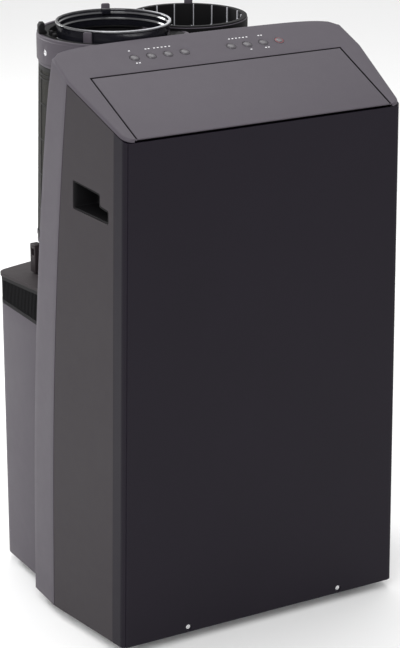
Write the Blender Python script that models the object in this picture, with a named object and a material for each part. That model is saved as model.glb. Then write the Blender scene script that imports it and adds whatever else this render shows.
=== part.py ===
"""Portable dual-hose air conditioner, modelled as an assembly of separate named sub-parts.

Frame: metres, +Z up, front face towards -Y, X = 0 on the centre plane. The origin is on the
floor under the middle of the object. Depths ("d") are measured backwards from the front face,
heights ("h") upwards from the bottom edge of the casing.
"""

import math

import bmesh
import bpy
from mathutils import Matrix, Vector

MM = 0.001

# Overall casing
DEPTH = 418 * MM
CLEARANCE = 15 * MM
FRONT_HEIGHT = 704.6 * MM
ROOF_ANGLE = math.radians(22.58)
BASE_HALF_WIDTH = 218.3 * MM
SIDE_TAPER = 0.0154
SIDE_FLARE = 0.146
BAND_LEAN = 0.04
WALL = 2.5 * MM
GAP = 0.4 * MM
SEAM = 1.4 * MM

# Front panel and side panels
RETURN_DEPTH = 24 * MM
FRONT_CORNER = 9 * MM
TOP_GAP = 5 * MM
FRONT_SCREWS = {"left": -116.7 * MM, "right": 126.8 * MM}
FRONT_SCREW_H = 7 * MM
CREASE_DEPTH = 163 * MM
CREASE_BOW = 0.0907
CREASE_START = 120 * MM
HANDLE_DEPTH = 38 * MM
HANDLE_RADIUS = 3 * MM

# Roof, bands behind the crease, and the flap
ROOF_EDGE = 4 * MM
ROOF_REAR = 194 * MM
ROOF_FRONT_LINE = 126.7 * MM
BAND_TOP_DEPTH = 170 * MM
BAND_REAR = 229.6 * MM
BAND_REAR_BOW = 0.107
BAND_REAR_START = 100 * MM
SHOULDER = 5.5 * MM
SHOULDER_START = 700 * MM
SHOULDER_HEIGHT = 78 * MM
BAND_STEPS = (0, 0.125, 0.25, 0.375, 0.5, 0.56, 0.63, 0.75, 0.85, 0.91, 0.94, 0.97, 1)
FLANGE = 20 * MM
DEEP_FLANGE = {-1: 55 * MM, 1: 50 * MM}
DEEP_FLANGE_STEPS = (0.63, 0.91)
FLAP_HALF = 190 * MM
FLAP_GAP = 2.5 * MM
FLAP_PIVOT_DROP = 4.8 * MM
FLAP_PIVOT_INSET = 4.5 * MM
ROD_RADIUS = 1.5 * MM
ROD_CLEARANCE = 0.3 * MM

# Buttons
BUTTON_RADIUS = 6.6 * MM
BUTTON_HOLE = 7.2 * MM
BUTTON_PROUD = 1.6 * MM
BUTTON_FIRST = 35.7 * MM
BUTTON_PITCH = 25.25 * MM
BUTTON_D = 154.7 * MM
BUTTON_NAMES = ("timer", "sleep", "mode", "fan_speed", "cooler", "warmer", "swing", "power")

# Air outlet under the flap
VANE_COUNT = 5
VANE_PITCH = 66 * MM
VANE_LENGTH = 62 * MM
VANE_HEIGHT = 34 * MM
VANE_DROP = 14 * MM
LINK_ARM = 20 * MM

# Lower rear box
BOX_HALF = 221 * MM
BOX_DEPTH = 415 * MM
BOX_CORNER = 26 * MM
BOX_BOW = 1.01
GRILLE_BOTTOM = 389 * MM
LID_THICKNESS = 5 * MM
LID_HEIGHT = 444.8 * MM
LID_DEPTH = 237 * MM
LID_SLOPE = 0.095
SLAT_PITCH = 13 * MM
DRAIN_H = 34 * MM
CORD_X = 110 * MM
CORD_H = 60 * MM
HOOK_PLACE = (-183 * MM, 318 * MM)
HOOK_HEIGHT = 42 * MM

# Upper rear column with the two hose ports
LEFT_PORT = Vector((-78.6 * MM, 277 * MM))
RIGHT_PORT = Vector((69.6 * MM, 333.5 * MM))
LEFT_DRUM = 103 * MM
DRUM_DRAFT = 0.0257
RIGHT_DRUM = 82.5 * MM
CAP_OVERHANG = 2 * MM
COLUMN_FRONT = 213 * MM
COLUMN_SET_IN = 2.5 * MM
COLUMN_LEAN = 0.032
CAP_FRONT = 197 * MM
CAP_BOTTOM = 746 * MM
DECK_TOP = 753 * MM
LEFT_COLLAR_TOP = 781 * MM
LEFT_SHELF = 771 * MM
RIGHT_COLLAR_TOP = 775.5 * MM
LEFT_HOLE = 75.8 * MM
LEFT_RECESS = 88 * MM
RIGHT_HOLE = 77.5 * MM
ADAPTOR_TOP = 794.5 * MM
EXHAUST_RADIUS = 74.5 * MM
INTAKE_RADIUS = 70 * MM
DUCT_LOW = 400 * MM
GUARD_LOW = 702 * MM
FILTER_FROM = math.radians(141)
FILTER_TO = math.radians(213)
FILTER_BOTTOM = 488 * MM
FILTER_TOP = 739 * MM
FOOT_TOP = 481 * MM
CAP_SCREW_RADIUS = 4 * MM
CAP_SCREW_HOLE = 4.6 * MM

# Casters
WHEEL_RADIUS = 19 * MM
WHEEL_WIDTH = 16 * MM
CASTER_X = 165 * MM
CASTER_D = (58 * MM, 325 * MM)
CASTER_TRAIL = 12 * MM
AXLE_RADIUS = 3 * MM
WELL_RADIUS = 37 * MM
WELL_TOP = 62 * MM

# Inside
DIVIDER_H = 432 * MM


# ---------------------------------------------------------------- shape of the casing

def at(x, d, h):
    """World point from the centre distance, the depth and the height above the casing's edge."""
    return Vector((x, d - DEPTH / 2, h + CLEARANCE))


def side_half(d, h):
    """Half-width of the casing: it flares out to the crease and leans in slightly behind it."""
    flared = min(d, crease_depth(h))
    return BASE_HALF_WIDTH - SIDE_TAPER * h + SIDE_FLARE * flared - BAND_LEAN * (d - flared)


def roof_height(d):
    return FRONT_HEIGHT + d * math.tan(ROOF_ANGLE)


def crease_depth(h):
    """Depth of the crease where the side panel meets the band; it leans forward above the base."""
    return CREASE_DEPTH - CREASE_BOW * max(h - CREASE_START, 0.0) ** 2


def band_rear_depth(h):
    """Depth of the band's rear edge: a long curve forwards, tighter at the shoulder."""
    bow = BAND_REAR_BOW * max(h - BAND_REAR_START, 0.0) ** 2
    shoulder = max(h - SHOULDER_START, 0.0) / SHOULDER_HEIGHT
    return BAND_REAR - bow - SHOULDER * shoulder ** 2


def roof_rear_depth(x):
    """Depth of the roof's rear edge, slightly bowed and rounded off at its corners."""
    bow = 3 * MM * (x / (200 * MM)) ** 2
    rounding = 13 * MM * (abs(x) / (215 * MM)) ** 10
    return ROOF_REAR - bow - rounding


ROOF_FRONT = crease_depth(roof_height(ROOF_FRONT_LINE))


def roof_matrix(x=0.0, slope=0.0, normal=0.0):
    """Placement on the roof plane: Y runs up the slope from the front edge, Z stands off it."""
    base = Matrix.Translation(at(0, 0, FRONT_HEIGHT)) @ Matrix.Rotation(ROOF_ANGLE, 4, "X")
    return base @ Matrix.Translation((x, slope, normal))


def arc(centre, radius, start, end, steps):
    """Points of a circular arc in a plane, both ends included; angles in degrees."""
    points = []
    for i in range(steps + 1):
        a = math.radians(start + (end - start) * i / steps)
        points.append(Vector((centre[0] + radius * math.cos(a), centre[1] + radius * math.sin(a))))
    return points


# ---------------------------------------------------------------- modelling helpers

def clear_scene():
    for obj in list(bpy.data.objects):
        bpy.data.objects.remove(obj, do_unlink=True)


def material(name, colour, roughness, metallic=0.0):
    mat = bpy.data.materials.new(name)
    mat.use_nodes = True
    shader = mat.node_tree.nodes["Principled BSDF"]
    shader.inputs["Base Color"].default_value = (*colour, 1.0)
    shader.inputs["Roughness"].default_value = roughness
    shader.inputs["Metallic"].default_value = metallic
    return mat


def finish(name, bm, mat, matrix=None, smooth=None):
    """Turns a bmesh into a named object with its own material."""
    mesh = bpy.data.meshes.new(name)
    bm.to_mesh(mesh)
    bm.free()
    if smooth is not None:
        mesh.shade_smooth()
        mesh.set_sharp_from_angle(angle=math.radians(smooth))
    obj = bpy.data.objects.new(name, mesh)
    obj.data.materials.append(mat)
    if matrix is not None:
        obj.matrix_world = matrix
    bpy.context.scene.collection.objects.link(obj)
    return obj


def box_bm(low, high):
    bm = bmesh.new()
    bmesh.ops.create_cube(bm, size=1.0)
    size = Vector(high) - Vector(low)
    centre = (Vector(high) + Vector(low)) / 2
    bmesh.ops.scale(bm, vec=size, verts=bm.verts)
    bmesh.ops.translate(bm, vec=centre, verts=bm.verts)
    return bm


def prism_bm(outline, low, high):
    """Extrudes a closed outline, given as XY points, from one height to another."""
    bm = bmesh.new()
    face = bm.faces.new([bm.verts.new((p[0], p[1], low)) for p in outline])
    top = bmesh.ops.extrude_face_region(bm, geom=[face])["geom"]
    moved = [v for v in top if isinstance(v, bmesh.types.BMVert)]
    bmesh.ops.translate(bm, vec=(0, 0, high - low), verts=moved)
    bmesh.ops.recalc_face_normals(bm, faces=bm.faces)
    return bm


def turned_bm(profile, steps, closed=False):
    """Spins a profile of (radius, height) points about Z."""
    bm = bmesh.new()
    verts = [bm.verts.new((r, 0, z)) for r, z in profile]
    edges = [bm.edges.new(pair) for pair in zip(verts, verts[1:])]
    if closed:
        edges.append(bm.edges.new((verts[-1], verts[0])))
    bmesh.ops.spin(bm, geom=verts + edges, cent=(0, 0, 0), axis=(0, 0, 1),
                   angle=math.tau, steps=steps, use_merge=True)
    bmesh.ops.remove_doubles(bm, verts=bm.verts, dist=1e-6)
    bmesh.ops.recalc_face_normals(bm, faces=bm.faces)
    return bm


def face_outward(bm, outward):
    """Turns the faces so that their normals point along outward(centre of the face)."""
    bm.normal_update()
    total = sum(f.normal.dot(outward(f.calc_center_median())) * f.calc_area() for f in bm.faces)
    if total < 0:
        bmesh.ops.reverse_faces(bm, faces=bm.faces)


def thicken(obj, wall):
    """Gives a surface its wall, inwards of the modelled faces."""
    mod = obj.modifiers.new("Wall", "SOLIDIFY")
    mod.thickness = wall
    mod.offset = -1.0
    mod.use_even_offset = True
    return obj


def skin(name, rows, outward, mat, wall=WALL, keep=None, smooth=35):
    """A moulded wall: a grid of points, thickened inwards. keep(i, j) drops cells for openings."""
    bm = bmesh.new()
    grid = [[bm.verts.new(p) for p in row] for row in rows]
    for i in range(len(grid) - 1):
        for j in range(len(grid[0]) - 1):
            if keep is None or keep(i, j):
                bm.faces.new((grid[i][j], grid[i][j + 1], grid[i + 1][j + 1], grid[i + 1][j]))
    loose = [v for v in bm.verts if not v.link_faces]
    bmesh.ops.delete(bm, geom=loose, context="VERTS")
    face_outward(bm, outward)
    return thicken(finish(name, bm, mat, smooth=smooth), wall)


def hidden(obj):
    """Marks an object as a cutter or a joined-in shape, not a piece of its own."""
    obj.hide_render = True
    obj.display_type = "WIRE"
    return obj


def combine(target, other, operation):
    mod = target.modifiers.new(operation.title(), "BOOLEAN")
    mod.operation = operation
    mod.solver = "EXACT"
    mod.object = hidden(other)
    tidy = target.modifiers.new("Weld", "WELD")
    tidy.merge_threshold = 0.00002


def cut(target, bm, label, matrix=None):
    combine(target, finish(f"{target.name}_{label}", bm, target.data.materials[0], matrix), "DIFFERENCE")


def join(target, bm, label, matrix=None):
    combine(target, finish(f"{target.name}_{label}", bm, target.data.materials[0], matrix), "UNION")


def bevel(obj, width, segments=2):
    mod = obj.modifiers.new("Bevel", "BEVEL")
    mod.width = width
    mod.segments = segments
    mod.limit_method = "ANGLE"
    mod.angle_limit = math.radians(50)


def drum(radius, low, high, steps=32):
    return turned_bm([(0, low), (radius, low), (radius, high), (0, high)], steps)


def vertical(x, d, h):
    """Placement with local +Z up at a point given by depth and height."""
    return Matrix.Translation(at(x, d, h))


def facing_back(x, d, h):
    """Placement with local +Z pointing backwards (+Y)."""
    return Matrix.Translation(at(x, d, h)) @ Matrix.Rotation(-math.pi / 2, 4, "X")


# ---------------------------------------------------------------- casing

def front_panel(mat):
    def row(t):
        corner = [(FRONT_CORNER * (1 - math.sin(a)), FRONT_CORNER * (1 - math.cos(a)))
                  for a in (0, math.pi / 6, math.pi / 3, math.pi / 2)]
        strips = []
        for side in (-1, 1):
            strip = []
            for depth, tuck in [(RETURN_DEPTH, 0.0), (FRONT_CORNER * 1.6, 0.0)] + corner:
                drop = ROOF_EDGE + SEAM if depth > FRONT_CORNER else TOP_GAP
                h = (roof_height(depth) - drop) * t
                strip.append(at(side * (side_half(max(depth, FRONT_CORNER), h) - tuck), depth, h))
            strips.append(strip)
        return strips[0] + list(reversed(strips[1]))

    rows = [row(t) for t in (0, 0.25, 0.5, 0.75, 1)]
    obj = skin("front_panel", rows, lambda p: Vector((p.x, -1.0, 0)), mat, wall=3 * MM)
    for side, x in FRONT_SCREWS.items():
        cut(obj, drum(4.5 * MM, -10 * MM, 10 * MM, 12), side + "_screw_hole",
            facing_back(x, 0, FRONT_SCREW_H))
    return obj


def handle_outline(inset):
    """L-shaped opening of the carrying handle: (depth, height) points, forward step at the top."""
    i = inset
    corners = [(113.5 * MM - i, 590.4 * MM + i), (35.5 * MM + i, 586.8 * MM + i),
               (35.5 * MM + i, 604.5 * MM - i), (54.0 * MM + i, 607.8 * MM - i),
               (54.0 * MM + i, 623.2 * MM - i), (113.5 * MM - i, 629.0 * MM - i)]
    points = []
    for n, corner in enumerate(corners):
        c = Vector(corner)
        back = (Vector(corners[n - 1]) - c).normalized()
        ahead = (Vector(corners[(n + 1) % len(corners)]) - c).normalized()
        points += [c + back * HANDLE_RADIUS, c + (back + ahead) * HANDLE_RADIUS * 0.3,
                   c + ahead * HANDLE_RADIUS]
    return points


def side_panel(name, side, mat):
    def row(t):
        points = []
        near = RETURN_DEPTH + GAP
        far = crease_depth(t * (roof_height(ROOF_FRONT) - ROOF_EDGE)) - SEAM
        for u in (0, 0.2, 0.4, 0.6, 0.8, 1):
            d = near + u * (far - near)
            h = t * (roof_height(d) - ROOF_EDGE - SEAM)
            points.append(at(side * side_half(d, h), d, h))
        return points

    rows = [row(t / 10) for t in range(11)]
    obj = skin(name, rows, lambda p: Vector((side, 0, 0)), mat)
    opening = [(p.y, -p.x) for p in handle_outline(0.0)]
    turn = Matrix(((0, 0, side, 0), (0, -1, 0, 0), (1, 0, 0, 0), (0, 0, 0, 1)))
    cutter = prism_bm(opening, BASE_HALF_WIDTH - 38 * MM, BASE_HALF_WIDTH + 42 * MM)
    bmesh.ops.transform(cutter, matrix=turn, verts=cutter.verts)
    bmesh.ops.recalc_face_normals(cutter, faces=cutter.faces)
    cut(obj, cutter, "handle_opening", Matrix.Translation(at(0, 0, 0)))
    return obj


def handle_cup(name, side, mat):
    """A pocket behind the handle opening: outer wall, floor and inner wall in one moulding."""
    def ring(inset, depth):
        points = []
        for p in handle_outline(inset):
            points.append(at(side * (side_half(p.x, p.y) - depth), p.x, p.y))
        return points

    rings = [ring(GAP + 2 * MM, HANDLE_DEPTH - 2 * MM), ring(GAP + 2 * MM, 0.2 * MM),
             ring(GAP, 0.2 * MM), ring(GAP, HANDLE_DEPTH)]
    bm = bmesh.new()
    loops = [[bm.verts.new(p) for p in points] for points in rings]
    count = len(loops[0])
    for a, b in zip(loops, loops[1:]):
        for i in range(count):
            bm.faces.new((a[i], a[(i + 1) % count], b[(i + 1) % count], b[i]))
    bm.faces.new(loops[0])
    bm.faces.new(loops[-1])
    bmesh.ops.triangulate(bm, faces=[f for f in bm.faces if len(f.verts) > 4])
    bmesh.ops.recalc_face_normals(bm, faces=bm.faces)
    return finish(name, bm, mat)


def main_shell(mat):
    """Roof and both rear bands in one moulding, open at the front, with an in-turned rear flange."""
    band = [("band", t) for t in BAND_STEPS]
    fillet = [("fillet", math.radians(a)) for a in (30, 60, 90)]
    roof_x = (209 * MM, 200 * MM, FLAP_HALF + FLAP_GAP, 165 * MM, 125 * MM, 80 * MM, 30 * MM)
    roof = [("roof", x) for x in roof_x]
    left = band + fillet + roof
    stations = [(-1, s) for s in left] + [(1, s) for s in reversed(left)]

    def front_depth(kind, value):
        if kind == "band":
            return crease_depth(value * roof_height(ROOF_FRONT_LINE))
        return ROOF_FRONT

    def rear_depth(kind, value):
        if kind == "band":
            return band_rear_depth(value * roof_height(BAND_TOP_DEPTH))
        if kind == "fillet":
            return band_rear_depth(roof_height(BAND_TOP_DEPTH))
        return roof_rear_depth(value)

    def flange(side, kind, value):
        first, last = DEEP_FLANGE_STEPS
        return DEEP_FLANGE[side] if kind == "band" and first <= value <= last else FLANGE

    def point(side, kind, value, d, inward=0.0):
        edge = side_half(d, roof_height(d) - ROOF_EDGE)
        if kind == "band":
            h = value * (roof_height(d) - ROOF_EDGE)
            return at(side * (side_half(d, h) - inward), d, h)
        if kind == "fillet":
            x = edge - ROOF_EDGE + ROOF_EDGE * math.cos(value) - inward * math.cos(value)
            h = roof_height(d) - ROOF_EDGE + (ROOF_EDGE - inward) * math.sin(value)
            return at(side * x, d, h)
        return at(side * min(value, edge - ROOF_EDGE), d, roof_height(d) - inward)

    rows = []
    for v in (0, 0.5, 1):
        row = []
        for side, (kind, value) in stations:
            near = front_depth(kind, value)
            far = rear_depth(kind, value)
            row.append(point(side, kind, value, near + v * (far - near)))
        rows.append(row)
    rows.append([point(side, kind, value, rear_depth(kind, value), flange(side, kind, value))
                 for side, (kind, value) in stations])

    bm = bmesh.new()
    grid = [[bm.verts.new(p) for p in row] for row in rows]
    for i in range(len(grid) - 1):
        for j in range(len(stations) - 1):
            bm.faces.new((grid[i][j], grid[i + 1][j], grid[i + 1][j + 1], grid[i][j + 1]))

    # The two arms beside the flap run from the front corners back to the roof's front line.
    arm = [("band", 1.0)] + fillet + [("roof", x) for x in roof_x[:3]]
    corner = 13 * MM
    arm_depths = [0.0, 2 * MM, 6 * MM, corner, 45 * MM, 85 * MM]
    for side in (-1, 1):
        columns = [stations.index((side, s)) for s in arm]
        previous = [grid[0][c] for c in columns]
        for d in reversed(arm_depths):
            fresh = []
            reach = max(corner - d, 0.0)
            tuck = corner - math.sqrt(corner ** 2 - reach ** 2)
            limit = side_half(d, roof_height(d)) - tuck
            for kind, value in arm:
                p = point(side, kind, value, d)
                shift = tuck if kind != "roof" else max(abs(p.x) - (limit - ROOF_EDGE), 0.0)
                fresh.append(bm.verts.new(p - Vector((side * shift, 0, 0))))
            for j in range(len(arm) - 1):
                bm.faces.new((previous[j], fresh[j], fresh[j + 1], previous[j + 1]))
            previous = fresh
    bmesh.ops.remove_doubles(bm, verts=bm.verts, dist=1e-5)
    bmesh.ops.recalc_face_normals(bm, faces=bm.faces)
    face_outward(bm, lambda p: Vector((p.x, 0, 0.2)))
    obj = thicken(finish("main_shell", bm, mat, smooth=35), WALL)
    for n, x in enumerate(button_positions()):
        cut(obj, drum(BUTTON_HOLE, -10 * MM, 10 * MM, 16), f"button_hole_{n + 1}",
            roof_matrix(x, BUTTON_D / math.cos(ROOF_ANGLE)))
    return obj


def button_positions():
    inner = [BUTTON_FIRST + n * BUTTON_PITCH for n in range(4)]
    return [-x for x in reversed(inner)] + inner


def button(name, x, mat):
    """A capped pin: flat head with a rounded edge and a stem down towards its switch."""
    head = BUTTON_RADIUS
    profile = [(0, BUTTON_PROUD), (head - 0.9 * MM, BUTTON_PROUD), (head, BUTTON_PROUD - 0.9 * MM),
               (head, -3.5 * MM), (2.2 * MM, -3.5 * MM), (2.2 * MM, -8 * MM), (0, -8 * MM)]
    return finish(name, turned_bm(profile, 16), mat,
                  roof_matrix(x, BUTTON_D / math.cos(ROOF_ANGLE)), smooth=40)


def control_board(mat):
    """Printed board under the buttons, with one switch block below each stem."""
    place = roof_matrix(0, BUTTON_D / math.cos(ROOF_ANGLE))
    half_x, half_y = 128 * MM, 18 * MM
    low, high = -18.5 * MM, -16.8 * MM
    obj = finish("control_board", box_bm((-half_x, -half_y, low), (half_x, half_y, high)), mat, place)
    half = 3 * MM
    for n, x in enumerate(button_positions()):
        switch = box_bm((x - half, -half, high - 0.4 * MM), (x + half, half, -10.5 * MM))
        join(obj, switch, f"switch_{n + 1}", place)
    return obj


# ---------------------------------------------------------------- flap and air outlet

FLAP_END = ROOF_FRONT / math.cos(ROOF_ANGLE) - FLAP_GAP
FLAP_PIVOT = FLAP_END - FLAP_PIVOT_INSET


def flap(mat):
    """Outlet cover: thin at its front edge, thick where the hinge rod passes through it."""
    section = [(0.0, 0.0), (FLAP_END, 0.0), (FLAP_END, -9 * MM), (FLAP_END - 10 * MM, -9 * MM),
               (FLAP_END - 16 * MM, -4 * MM), (6 * MM, -4 * MM), (0.0, -2.2 * MM)]
    bm = bmesh.new()
    face = bm.faces.new([bm.verts.new((-FLAP_HALF, s - FLAP_PIVOT, n + FLAP_PIVOT_DROP))
                         for s, n in section])
    far = bmesh.ops.extrude_face_region(bm, geom=[face])["geom"]
    bmesh.ops.translate(bm, vec=(2 * FLAP_HALF, 0, 0),
                        verts=[v for v in far if isinstance(v, bmesh.types.BMVert)])
    bmesh.ops.recalc_face_normals(bm, faces=bm.faces)
    obj = finish("flap", bm, mat, roof_matrix(0, FLAP_PIVOT, -FLAP_PIVOT_DROP))
    reach = FLAP_HALF + 60 * MM
    cut(obj, drum(ROD_RADIUS + ROD_CLEARANCE, -reach, reach, 12), "rod_bore",
        roof_matrix(0, FLAP_PIVOT, -FLAP_PIVOT_DROP) @ Matrix.Rotation(math.pi / 2, 4, "Y"))
    return obj


def flap_hinge_rod(mat):
    half = FLAP_HALF + 6 * MM
    place = roof_matrix(0, FLAP_PIVOT, -FLAP_PIVOT_DROP) @ Matrix.Rotation(math.pi / 2, 4, "Y")
    return finish("flap_hinge_rod", drum(ROD_RADIUS, -half, half, 12), mat, place, smooth=40)


def flap_motor(mat):
    """Geared motor that turns the flap, beside the outlet at the rod's left end."""
    bm = box_bm((-206 * MM, -30 * MM, -46 * MM), (-191.5 * MM, -4 * MM, -12 * MM))
    return finish("flap_motor", bm, mat, roof_matrix(0, FLAP_PIVOT, 0))


def outlet_duct(mat):
    """Four-walled air outlet below the flap, open at the top and the bottom."""
    def ring(front_normal, rear_normal, near, far, half):
        return [roof_matrix() @ Vector(p) for p in (
            (-half, near, front_normal), (half, near, front_normal),
            (half, far, rear_normal), (-half, far, rear_normal))]

    rows = [ring(-5 * MM, -12 * MM, 6 * MM, FLAP_END - 1 * MM, 188 * MM),
            ring(-35 * MM, -35 * MM, 10 * MM, FLAP_END - 10 * MM, 186 * MM),
            ring(-62 * MM, -62 * MM, 24 * MM, FLAP_END - 28 * MM, 184 * MM)]
    bm = bmesh.new()
    grid = [[bm.verts.new(p) for p in row] for row in rows]
    for upper, lower in zip(grid, grid[1:]):
        for i in range(4):
            bm.faces.new((upper[i], upper[(i + 1) % 4], lower[(i + 1) % 4], lower[i]))
    bmesh.ops.recalc_face_normals(bm, faces=bm.faces)
    centre = roof_matrix() @ Vector((0, 68 * MM, -40 * MM))
    face_outward(bm, lambda p: p - centre)
    return thicken(finish("outlet_duct", bm, mat), 2 * MM)


def vane(name, x, mat):
    """Upright guide blade, thinner towards its front edge, with its pivot at mid-length."""
    half = VANE_LENGTH / 2
    outline = [(0, -half), (0.7 * MM, -half + 2 * MM), (1.1 * MM, 0), (0.9 * MM, half),
               (-0.9 * MM, half), (-1.1 * MM, 0), (-0.7 * MM, -half + 2 * MM)]
    return finish(name, prism_bm(outline, -VANE_HEIGHT, 0), mat,
                  roof_matrix(x, 70 * MM, -VANE_DROP))


def vane_link(mat):
    """Bar that ties the blades together, just below them on their rear side."""
    reach = VANE_PITCH * (VANE_COUNT - 1) / 2 + 5 * MM
    bm = box_bm((-reach, LINK_ARM - 2.5 * MM, -3 * MM), (reach, LINK_ARM + 2.5 * MM, 0))
    return finish("vane_link", bm, mat, roof_matrix(0, 70 * MM, -VANE_DROP - VANE_HEIGHT - 0.5 * MM))


# ---------------------------------------------------------------- lower rear box

def box_outline(steps=5):
    """Plan of the lower box's wall from its left front edge round the back to the right one."""
    turn = 68
    reach = BOX_HALF - BOX_CORNER * (1 - math.cos(math.radians(turn)))
    rise = BOX_CORNER * math.sin(math.radians(turn))
    centre = (BOX_HALF - BOX_CORNER, BOX_DEPTH - BOX_BOW * reach ** 2 - rise)
    right = arc(centre, BOX_CORNER, 0, turn, steps)
    back = []
    for n in range(1, 6):
        x = reach * (1 - n / 5)
        back.append(Vector((x, BOX_DEPTH - BOX_BOW * x ** 2)))
    half = right + back
    left = [Vector((-p.x, p.y)) for p in reversed(half[:-1])]
    return list(reversed(half + left))


def lid_height(d):
    return LID_HEIGHT - LID_SLOPE * (d - LID_DEPTH)


def on_back_wall(x, h, out):
    """Placement that stands `out` off the curved back wall and points straight away from it."""
    lean = Matrix.Rotation(-math.atan(2 * BOX_BOW * x), 4, "Z")
    place = Matrix.Translation(at(x, BOX_DEPTH - BOX_BOW * x ** 2, h)) @ lean
    return place @ Matrix.Translation((0, out, 0)) @ Matrix.Rotation(-math.pi / 2, 4, "X")


def rear_housing(mat):
    outline = box_outline()

    def row(h):
        start = band_rear_depth(h) + SEAM
        ends = (at(-BOX_HALF, start, h), at(BOX_HALF, start, h))
        return [ends[0]] + [at(p.x, p.y, h) for p in outline] + [ends[1]]

    rows = [row(GRILLE_BOTTOM * t / 3) for t in range(4)]
    obj = skin("rear_housing", rows, lambda p: Vector((p.x, p.y, 0)), mat)
    for place, radius, label in ((on_back_wall(0, DRAIN_H, 0), 9 * MM, "drain_hole"),
                                 (on_back_wall(CORD_X, CORD_H, 0), 8.5 * MM, "cord_hole")):
        cut(obj, drum(radius, -20 * MM, 20 * MM, 20), label, place)
    return obj


def rear_grille(mat):
    """Strip of upright slats round the top of the lower box, between two rails."""
    outline = box_outline()
    start = band_rear_depth(GRILLE_BOTTOM) + SEAM
    path = [Vector((-BOX_HALF, start))] + outline + [Vector((BOX_HALF, start))]
    stops = [path[0]]
    for a, b in zip(path, path[1:]):
        count = max(2, 2 * round((b - a).length / SLAT_PITCH / 2)) if (b - a).length > 0.012 else 1
        stops += [a.lerp(b, n / count) for n in range(1, count + 1)]
    bottom = GRILLE_BOTTOM + GAP

    def level(p, t):
        return at(p.x, p.y, bottom + t * (lid_height(p.y) - LID_THICKNESS - GAP - bottom))

    rows = [[level(p, t) for p in stops] for t in (0, 0.12, 0.88, 1)]
    last = len(stops) - 2
    return skin("rear_grille", rows, lambda p: Vector((p.x, p.y, 0)), mat, wall=2 * MM,
                keep=lambda i, j: i != 1 or j % 2 == 0 or j == last)


def rear_top_cover(mat):
    """Sloping lid of the lower box, standing a little proud all round, with two duct openings."""
    grow = 1.006
    outline = [at(p.x * grow, p.y + (grow - 1) * p.y * 0.5, 0) for p in box_outline()]
    front_d = band_rear_depth(LID_HEIGHT) + SEAM
    outline = [at(-BOX_HALF * grow, front_d, 0)] + outline + [at(BOX_HALF * grow, front_d, 0)]
    bm = prism_bm(outline, 0, LID_THICKNESS)
    for v in bm.verts:
        v.co.z += lid_height(v.co.y + DEPTH / 2) - LID_THICKNESS + CLEARANCE
    obj = finish("rear_top_cover", bm, mat)
    for centre, radius, label in ((LEFT_PORT, EXHAUST_RADIUS + GAP, "exhaust_opening"),
                                  (RIGHT_PORT, INTAKE_RADIUS + GAP, "intake_opening")):
        cut(obj, drum(radius, -50 * MM, 50 * MM), label,
            vertical(centre.x, centre.y, LID_HEIGHT - 8 * MM))
    return obj


def drain_plug(mat):
    profile = [(0, -10 * MM), (8.6 * MM, -10 * MM), (8.6 * MM, 0), (12 * MM, 0),
               (12 * MM, 1.2 * MM), (11 * MM, 2 * MM), (0, 2 * MM)]
    return finish("drain_plug", turned_bm(profile, 16), mat,
                  on_back_wall(0, DRAIN_H, 0.3 * MM), smooth=40)


def cord_gland(mat):
    profile = [(4 * MM, -9 * MM), (8.1 * MM, -9 * MM), (8.1 * MM, 0), (11 * MM, 0),
               (11 * MM, 2.5 * MM), (6 * MM, 7 * MM), (4 * MM, 7 * MM)]
    return finish("cord_gland", turned_bm(profile, 16, closed=True), mat,
                  on_back_wall(CORD_X, CORD_H, 0.4 * MM), smooth=40)


def cord_hook(mat):
    """Small post on the lid beside the column, with a slot near its top."""
    x, d = HOOK_PLACE
    half_x, half_y = 6 * MM, 8 * MM
    low = lid_height(d - half_y) + 0.6 * MM
    high = low + HOOK_HEIGHT
    place = vertical(x, d, 0)
    obj = finish("cord_hook", box_bm((-half_x, -half_y, low), (half_x, half_y, high)), mat, place)
    bevel(obj, 2.5 * MM)
    cut(obj, box_bm((-20 * MM, -4 * MM, high - 17 * MM), (20 * MM, 4 * MM, high - 7 * MM)), "slot",
        place)
    return obj


# ---------------------------------------------------------------- upper rear column

def drum_radius(h):
    """Radius of the left drum: drafted wider from its top to the filter's foot, then stepped in."""
    if h <= FOOT_TOP:
        return LEFT_DRUM
    return LEFT_DRUM + DRUM_DRAFT * max(FILTER_TOP - h, 0.0)


def column_outline(left_r, right_r, front, steps=14):
    """Plan of the column: round the left drum, straight across the back, round the right drum."""
    along = RIGHT_PORT - LEFT_PORT
    tilt = math.degrees(math.atan2(along.y, along.x))
    tangent = tilt + math.degrees(math.acos((left_r - right_r) / along.length))
    start = 180 + math.degrees(math.asin((LEFT_PORT.y - front) / left_r))
    points = arc(LEFT_PORT, left_r, start, tangent, steps)
    points += arc(RIGHT_PORT, right_r, tangent, 0, 8)
    points.append(Vector((RIGHT_PORT.x + right_r + 22 * MM, front)))
    return points


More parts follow.
